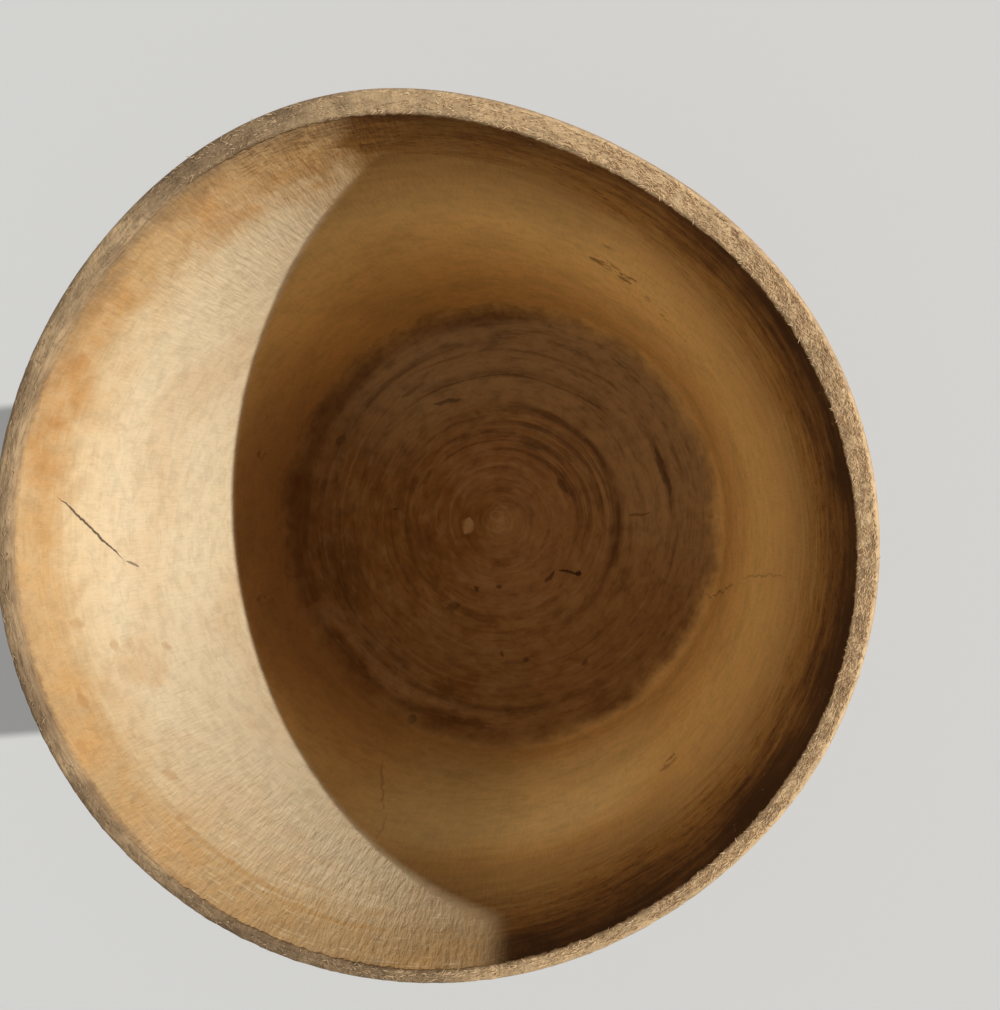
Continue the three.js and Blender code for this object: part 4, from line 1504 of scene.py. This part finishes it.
    def shape(self, piece: bpy.types.Object) -> None:
        """Sets the hollow off-centre, warps the wall and stores where hollow and lip are."""
        points = points_of(piece)
        radius = np.hypot(points[:, 0], points[:, 1])
        angle = np.arctan2(points[:, 1], points[:, 0])
        height = points[:, 2]
        depth = self.rim_height - height
        lip_flare = self.hollow_at(0.0) - self.hollow_radius
        inner = self.hollow_radius + lip_flare * np.exp(-depth / self.flare_length)
        across = np.clip((inner + self.rim_wall - radius) / self.rim_wall, 0.0, 1.0)
        reaches = (height > self.floor_height - MM) & (radius < inner + 0.05 * MM)
        on_top = depth < 1.05 * self.inner_arris
        hollow = np.where(reaches, 1.0, np.where(on_top, across, 0.0))
        swollen = np.where(radius > 0.0, radius + self.warp(angle, height), 0.0)
        offset = math.radians(self.hollow_offset_angle)
        points[:, 0] = swollen * np.cos(angle) + hollow * self.hollow_offset * math.cos(offset)
        points[:, 1] = swollen * np.sin(angle) + hollow * self.hollow_offset * math.sin(offset)
        relief = self.floor_relief(points)
        points[:, 2] += relief
        move_points(piece, points)
        write_attribute(piece, "relief", relief / self.relief_unit)
        lip = np.clip(1.0 - depth / (1.2 * self.inner_arris), 0.0, 1.0) ** 0.5
        inside = np.where(reaches, 1.0, np.where(on_top, across > 0.3, 0.0))
        write_attribute(piece, "hollow", inside)
        write_attribute(piece, "lip", lip)
        weigh(piece, "lip", lip)

    def build(self, finish: CupWood, effects: Effects) -> bpy.types.Object:
        """Turns, shapes and dresses the cup.

        Args:
            finish: The cup's wood.
            effects: The shared node groups.

        Returns:
            The cup.
        """
        cup = turn_profile("cup", self.profile(), self.sides)
        self.shape(cup)
        unevenness(cup, "hand_turned", *self.hand_turned)
        unevenness(cup, "fuzzy_lip", *self.torn_lip, "lip")
        smooth(cup)
        cup.data.materials.append(finish.material(effects))
        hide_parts("bowl")
        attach(cup, BODY)
        return cup


@dataclass
class LipFuzz:
    """Torn slivers of end grain that stand on the lip and over its inner edge."""

    cup: Cup
    count: int = 9000
    seed: int = 11
    least_length: float = 0.30 * MM
    most_length: float = 0.75 * MM
    thickness: float = 0.12 * MM
    rooted: float = 0.07 * MM
    fuzzy_side: float = 10.0
    crowding: float = 1.5
    inner_bias: float = 1.15
    inner_share: float = 0.15
    edge_gap: float = 0.05 * MM
    lean: float = 0.28
    inner_lean: Reach = (-0.9, 0.3)
    along: Reach = (0.4, 1.2)
    rise: Reach = (0.12, 0.45)
    thinness: Reach = (0.5, 1.1)
    cone_radii: Reach = (0.5, 0.32)
    cone_length: float = 0.6
    tip: tuple[float, float, float] = (0.35, 0.0, 0.4)

    def sliver(self) -> bpy.types.Object:
        """Models one three-sided sliver, one unit long, with a bend near its tip."""
        bpy.ops.object.select_all(action="DESELECT")
        bpy.ops.mesh.primitive_cone_add(
            vertices=3,
            radius1=self.cone_radii[0],
            radius2=self.cone_radii[1],
            depth=self.cone_length,
            location=(0.0, 0.0, self.cone_length / 2),
        )
        piece = bpy.context.object
        bpy.ops.object.transform_apply(location=True, rotation=True, scale=True)
        pick(piece, "FACE", lambda face: face.normal.z > 0.9)
        bpy.ops.mesh.extrude_region_move(TRANSFORM_OT_translate={"value": self.tip})
        bpy.ops.mesh.merge(type="CENTER")
        bpy.ops.mesh.select_all(action="SELECT")
        bpy.ops.mesh.quads_convert_to_tris()
        bpy.ops.mesh.normals_make_consistent(inside=False)
        bpy.ops.object.mode_set(mode="OBJECT")
        return piece

    def roots(self, rng: random.Random) -> tuple[Vector, Vector]:
        """Picks where a sliver stands and which way it points.

        Args:
            rng: The seeded source of chance.

        Returns:
            The root on the lip and the sliver's direction.
        """
        angle = rng.vonmisesvariate(math.radians(self.fuzzy_side), self.crowding)
        swell = float(self.cup.warp(np.array([angle]), np.array([self.cup.rim_height]))[0])
        inner = self.cup.hollow_at(0.0) + swell
        share = rng.random() ** self.inner_bias
        radius = inner + self.edge_gap + share * (self.cup.rim_wall - self.cup.rim_arris)
        offset = math.radians(self.cup.hollow_offset_angle)
        shift = self.cup.hollow_offset * (1.0 - share)
        root = Vector(
            (
                radius * math.cos(angle) + shift * math.cos(offset),
                radius * math.sin(angle) + shift * math.sin(offset),
                self.cup.rim_height - self.rooted,
            )
        )
        outward = Vector((math.cos(angle), math.sin(angle), 0.0))
        round_lip = Vector((-outward.y, outward.x, 0.0))
        at_edge = share < self.inner_share
        lean = rng.uniform(*self.inner_lean) if at_edge else rng.gauss(0.0, self.lean)
        along = rng.choice((-1.0, 1.0)) * rng.uniform(*self.along)
        rise = Vector((0.0, 0.0, rng.uniform(*self.rise)))
        direction = outward * lean + round_lip * along + rise
        return root, direction.normalized()

    def build(self, finish: FuzzWood, effects: Effects) -> bpy.types.Object:
        """Copies the sliver all round the lip as one piece.

        Args:
            finish: The slivers' wood.
            effects: The shared node groups.

        Returns:
            The fuzz.
        """
        template = self.sliver()
        shape = points_of(template)
        faces = np.array([face.vertices[:] for face in template.data.polygons])
        rng = random.Random(self.seed)
        points, corners = [], []
        for index in range(self.count):
            root, direction = self.roots(rng)
            length = rng.uniform(self.least_length, self.most_length)
            thick = self.thickness * rng.uniform(*self.thinness)
            turn = direction.to_track_quat("Z", "Y").to_matrix()
            spin = Matrix.Rotation(rng.uniform(0.0, FULL_TURN), 3, "Z")
            size = Matrix.Diagonal((thick, thick, length))
            placed = shape @ np.array(turn @ spin @ size).T + np.array(root)
            points.append(placed)
            corners.append(faces + index * len(shape))
        mesh = bpy.data.meshes.new("lip_fuzz")
        mesh.from_pydata(np.concatenate(points).tolist(), [], np.concatenate(corners).tolist())
        fuzz = bpy.data.objects.new("lip_fuzz", mesh)
        bpy.context.scene.collection.objects.link(fuzz)
        bpy.data.objects.remove(template)
        fuzz.data.materials.append(finish.material(effects))
        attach(fuzz, BODY)
        return fuzz


@dataclass
class Stem:
    """The turned spindle between the foot and the cup, a tenon at each end."""

    bottom: float
    top: float
    seat: float
    shoulder: float
    tenon_radius: float = 6.4 * MM
    bead_radius: float = 10.6 * MM
    bead_height: float = 4.0 * MM
    knop_radius: float = 9.6 * MM
    knop_height: float = 8.4 * MM
    fillet_height: float = 0.8 * MM
    fillet_width: float = 0.9 * MM
    waist_radius: float = 5.2 * MM
    neck_radius: float = 9.6 * MM
    neck_height: float = 1.6 * MM
    wedge_clearance: float = GLUE_GAP
    wedge_length: float = 7.6 * MM
    wedge_thick_end: float = 2.4 * MM
    wedge_thin_end: float = 0.9 * MM
    sanded: float = 0.25 * MM
    wear_reach: float = 2.5 * MM
    sides: int = 192

    def profile(self) -> Profile:
        """Lower tenon, bead, cove, knop, cove, neck and upper tenon."""
        bead_top = self.seat + self.bead_height
        neck = self.shoulder - self.neck_height
        cove = (neck - bead_top - self.knop_height - 3 * self.fillet_height) / 2
        lower = bead_top + self.fillet_height
        knop = lower + cove + self.fillet_height
        upper = knop + self.knop_height + self.fillet_height
        half_bead, half_knop = self.bead_height / 2, self.knop_height / 2
        bead_root = self.bead_radius - half_bead
        fillet = self.waist_radius + self.fillet_width
        waist_in, waist_out = bead_root - self.waist_radius, self.neck_radius - self.waist_radius
        points = [
            (0.0, self.bottom),
            (self.tenon_radius, self.bottom),
            (self.tenon_radius, self.seat),
            *arc((bead_root, self.seat + half_bead), (half_bead, half_bead), (-90, 90), 18),
            *arc((bead_root, lower + cove), (waist_in, cove), (270, 180), 22),
            (fillet, knop - self.fillet_height),
            *arc((fillet, knop + half_knop), (self.knop_radius - fillet, half_knop), (-90, 90), 26),
            (fillet, upper),
            *arc((self.neck_radius, upper), (waist_out, cove), (180, 90), 22),
            (self.neck_radius, self.shoulder),
            (self.tenon_radius, self.shoulder),
            (self.tenon_radius, self.top),
            (0.0, self.top),
        ]
        return eased(points, self.sanded)

    def kerf(self) -> bpy.types.Object:
        """Models the block that cuts the wedge's slot into the lower tenon."""
        spare = MM
        slope = (self.wedge_thick_end - self.wedge_thin_end) / self.wedge_length
        top = self.bottom + self.wedge_length + self.wedge_clearance
        wide = self.wedge_thick_end + slope * spare + 2 * self.wedge_clearance
        thin = self.wedge_thin_end + 2 * self.wedge_clearance
        bpy.ops.object.select_all(action="DESELECT")
        middle = (top + self.bottom - spare) / 2
        bpy.ops.mesh.primitive_cube_add(size=1.0, location=(0.0, 0.0, middle))
        block = bpy.context.object
        block.scale = (wide, 2 * self.tenon_radius + 2 * spare, top - self.bottom + spare)
        bpy.ops.object.transform_apply(location=True, rotation=True, scale=True)
        pick(block, "VERT", lambda vertex: vertex.co.z > top - 0.5 * spare)
        bpy.ops.transform.resize(value=(thin / wide, 1.0, 1.0), center_override=(0.0, 0.0, top))
        bpy.ops.object.mode_set(mode="OBJECT")
        return block

    def build(self, finish: WaxedWood, effects: Effects) -> bpy.types.Object:
        """Turns the stem, slots its lower tenon and dresses it.

        Args:
            finish: The stem's wood.
            effects: The shared node groups.

        Returns:
            The stem.
        """
        stem = turn_profile("spindle", self.profile(), self.sides)
        block = self.kerf()
        cut = stem.modifiers.new("wedge_slot", "BOOLEAN")
        cut.operation = "DIFFERENCE"
        cut.solver = "EXACT"
        cut.object = block
        select_only(stem)
        bpy.ops.object.modifier_apply(modifier=cut.name)
        bpy.data.objects.remove(block)
        smooth(stem, 35.0)
        write_wear(stem, self.wear_reach)
        stem.data.materials.append(finish.material(effects))
        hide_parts("stem")
        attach(stem, BODY)
        return stem


@dataclass
class Foot:
    """The turned foot: a disc with a hollow sweep up to the stem's seat."""

    radius: float
    height: float
    edge_height: float = 4.2 * MM
    edge_round: float = 1.4 * MM
    arris: float = 0.7 * MM
    step_width: float = 1.3 * MM
    step_height: float = 0.6 * MM
    seat_radius: float = 12.4 * MM
    seat_lip: float = 1.0 * MM
    ring_width: float = 6.4 * MM
    recess_depth: float = 1.8 * MM
    recess_slope: float = 3.0 * MM
    bore_radius: float = 6.7 * MM
    sanded: float = 0.3 * MM
    wear_reach: float = 3.0 * MM
    sides: int = 256

    def profile(self) -> Profile:
        """Standing ring, rounded edge, step, sweep, seat, bore and recess."""
        sweep_r = self.radius - self.edge_round - self.step_width
        sweep_z = self.edge_height + self.step_height
        sweep_top = self.height - self.seat_lip
        ring = self.radius - self.ring_width
        bore_end = (self.bore_radius, self.recess_depth)
        sweep = (sweep_r - self.seat_radius, sweep_top - sweep_z)
        arris, edge = (self.arris,) * 2, (self.edge_round,) * 2
        edge_centre = (self.radius - self.edge_round, self.edge_height - self.edge_round)
        points = [
            (ring, 0.0),
            (ring + 2.0 * MM, 0.0),
            *arc((self.radius - self.arris, self.arris), arris, (-90, 0), 5),
            *arc(edge_centre, edge, (0, 90), 8),
            (sweep_r, self.edge_height),
            *arc((sweep_r, sweep_top), sweep, (270, 180), 36),
            (self.seat_radius, self.height),
            (self.bore_radius, self.height),
            bore_end,
            *run(bore_end, (ring - self.recess_slope, self.recess_depth), 12),
            (ring, 0.0),
        ]
        return eased(points, self.sanded)

    def build(self, finish: WaxedWood, effects: Effects) -> bpy.types.Object:
        """Turns and dresses the foot.

        Args:
            finish: The foot's wood.
            effects: The shared node groups.

        Returns:
            The foot.
        """
        foot = turn_profile("foot_disc", self.profile(), self.sides)
        smooth(foot, 35.0)
        write_wear(foot, self.wear_reach)
        foot.data.materials.append(finish.material(effects))
        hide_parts("foot")
        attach(foot, BODY)
        return foot


def dress_wedge(finish: WaxedWood, effects: Effects) -> bpy.types.Object:
    """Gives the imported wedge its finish.

    Args:
        finish: The wedge's wood.
        effects: The shared node groups.

    Returns:
        The wedge.
    """
    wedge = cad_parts["foot_wedge"]
    wedge.data.materials.clear()
    wedge.data.materials.append(finish.material(effects))
    return wedge


# Stage


@dataclass
class Studio:
    """Pale floor, soft light and the camera at the photograph's angle."""

    rim_height: float
    floor_size: float = 4.0
    floor_colour: Colour = (0.62, 0.62, 0.605)
    fill: float = 0.48
    fill_colour: Colour = (1.0, 1.0, 1.0)
    background: Colour = (0.80, 0.80, 0.79)
    key: float = 3.4
    key_width: float = 0.9
    key_azimuth: float = LIGHT_BEARING
    key_elevation: float = LIGHT_ELEVATION
    camera_x: float = 19.45 * MM
    camera_y: float = 3.30 * MM
    camera_above_rim: float = 91.3 * MM
    focal_px: float = 1000.0
    long_side_px: float = 1010.0
    nadir_px: Point = (120.0, 3.0)
    sensor: float = 36.0

    def floor(self) -> bpy.types.Object:
        """Lays the plain floor that the goblet stands on."""
        bpy.ops.object.select_all(action="DESELECT")
        bpy.ops.mesh.primitive_plane_add(size=self.floor_size, location=(0.0, 0.0, 0.0))
        floor = bpy.context.object
        floor.name = "studio_floor"
        material, _, shader = new_material("studio_floor")
        shader.inputs["Base Color"].default_value = (*self.floor_colour, 1.0)
        shader.inputs["Roughness"].default_value = 0.95
        shader.inputs["Specular IOR Level"].default_value = 0.1
        floor.data.materials.append(material)
        return floor

    def world(self) -> None:
        """Sets the even fill light, and a pale background for the camera and for gloss."""
        world = bpy.data.worlds.new("studio_fill")
        world.use_nodes = True
        bpy.context.scene.world = world
        wiring = Wiring(world.node_tree)
        output = world.node_tree.nodes["World Output"]
        light = world.node_tree.nodes["Background"]
        wiring.feed(light.inputs["Color"], self.fill_colour)
        wiring.feed(light.inputs["Strength"], self.fill)
        seen = wiring.node("ShaderNodeBackground", {"Color": self.background, "Strength": 1.0})
        path = wiring.node("ShaderNodeLightPath")
        rays = path.outputs
        direct = wiring.larger(rays["Is Camera Ray"], rays["Is Glossy Ray"])
        shaders = {0: direct, 1: light.outputs[0], 2: seen.outputs[0]}
        mixed = wiring.node("ShaderNodeMixShader", shaders)
        wiring.feed(output.inputs["Surface"], mixed.outputs[0])

    def lamp(self) -> bpy.types.Object:
        """Hangs the key light, a narrow sun that casts the lip's shadow into the cup."""
        data = bpy.data.lights.new("key_light", "SUN")
        data.energy = self.key
        data.angle = math.radians(self.key_width)
        lamp = bpy.data.objects.new("key_light", data)
        bpy.context.scene.collection.objects.link(lamp)
        azimuth, elevation = math.radians(self.key_azimuth), math.radians(self.key_elevation)
        towards = Vector(
            (
                math.cos(azimuth) * math.cos(elevation),
                math.sin(azimuth) * math.cos(elevation),
                math.sin(elevation),
            )
        )
        lamp.rotation_mode = "QUATERNION"
        lamp.rotation_quaternion = towards.to_track_quat("Z", "Y")
        lamp.location = towards
        return lamp

    def camera(self) -> bpy.types.Object:
        """Sets the camera by where straight down falls in the photograph."""
        data = bpy.data.cameras.new("camera")
        data.sensor_width = self.sensor
        data.lens = self.sensor * self.focal_px / self.long_side_px
        data.clip_start, data.clip_end = 5.0 * MM, 20.0
        camera = bpy.data.objects.new("camera", data)
        bpy.context.scene.collection.objects.link(camera)
        down_in_camera = Vector((*self.nadir_px, -self.focal_px)).normalized()
        to_camera = Vector((0.0, 0.0, -1.0)).rotation_difference(down_in_camera)
        camera.rotation_mode = "QUATERNION"
        camera.rotation_quaternion = to_camera.inverted()
        camera.location = (self.camera_x, self.camera_y, self.rim_height + self.camera_above_rim)
        bpy.context.scene.camera = camera
        return camera

    def build(self) -> None:
        """Lays the floor, hangs the light and sets the camera."""
        self.floor()
        self.world()
        self.lamp()
        self.camera()
        bpy.context.scene.view_settings.view_transform = "Standard"


def report(piece: bpy.types.Object) -> None:
    """Logs a piece's name and number of faces."""
    log.info("%s: %d faces", piece.name, len(piece.data.polygons))


def main() -> None:
    """Builds the goblet piece by piece, then the studio round it."""
    logging.basicConfig(level=logging.INFO, format="%(name)s %(message)s", force=True)
    bowl_low, bowl_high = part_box("bowl")
    stem_low, stem_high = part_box("stem")
    _, foot_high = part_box("foot")
    effects = Effects()
    cup = Cup(rim_height=bowl_high.z, collar_height=bowl_low.z)
    cup_wood = CupWood(rim_height=cup.rim_height, floor_height=cup.floor_height)
    wedge_wood = WaxedWood(
        "wedge_wood", (0.24, 0.13, 0.07), (0.14, 0.07, 0.04), (0.32, 0.19, 0.11), (0.08, 0.05, 0.03)
    )
    stem = Stem(
        bottom=stem_low.z,
        top=stem_high.z,
        seat=foot_high.z + GLUE_GAP,
        shoulder=bowl_low.z - GLUE_GAP,
    )
    foot = Foot(radius=foot_high.x, height=foot_high.z)
    report(cup.build(cup_wood, effects))
    report(LipFuzz(cup).build(FuzzWood(), effects))
    report(stem.build(WaxedWood("stem_wood"), effects))
    report(foot.build(WaxedWood("foot_wood"), effects))
    report(dress_wedge(wedge_wood, effects))
    Studio(rim_height=cup.rim_height).build()


if __name__ == "__main__":
    main()
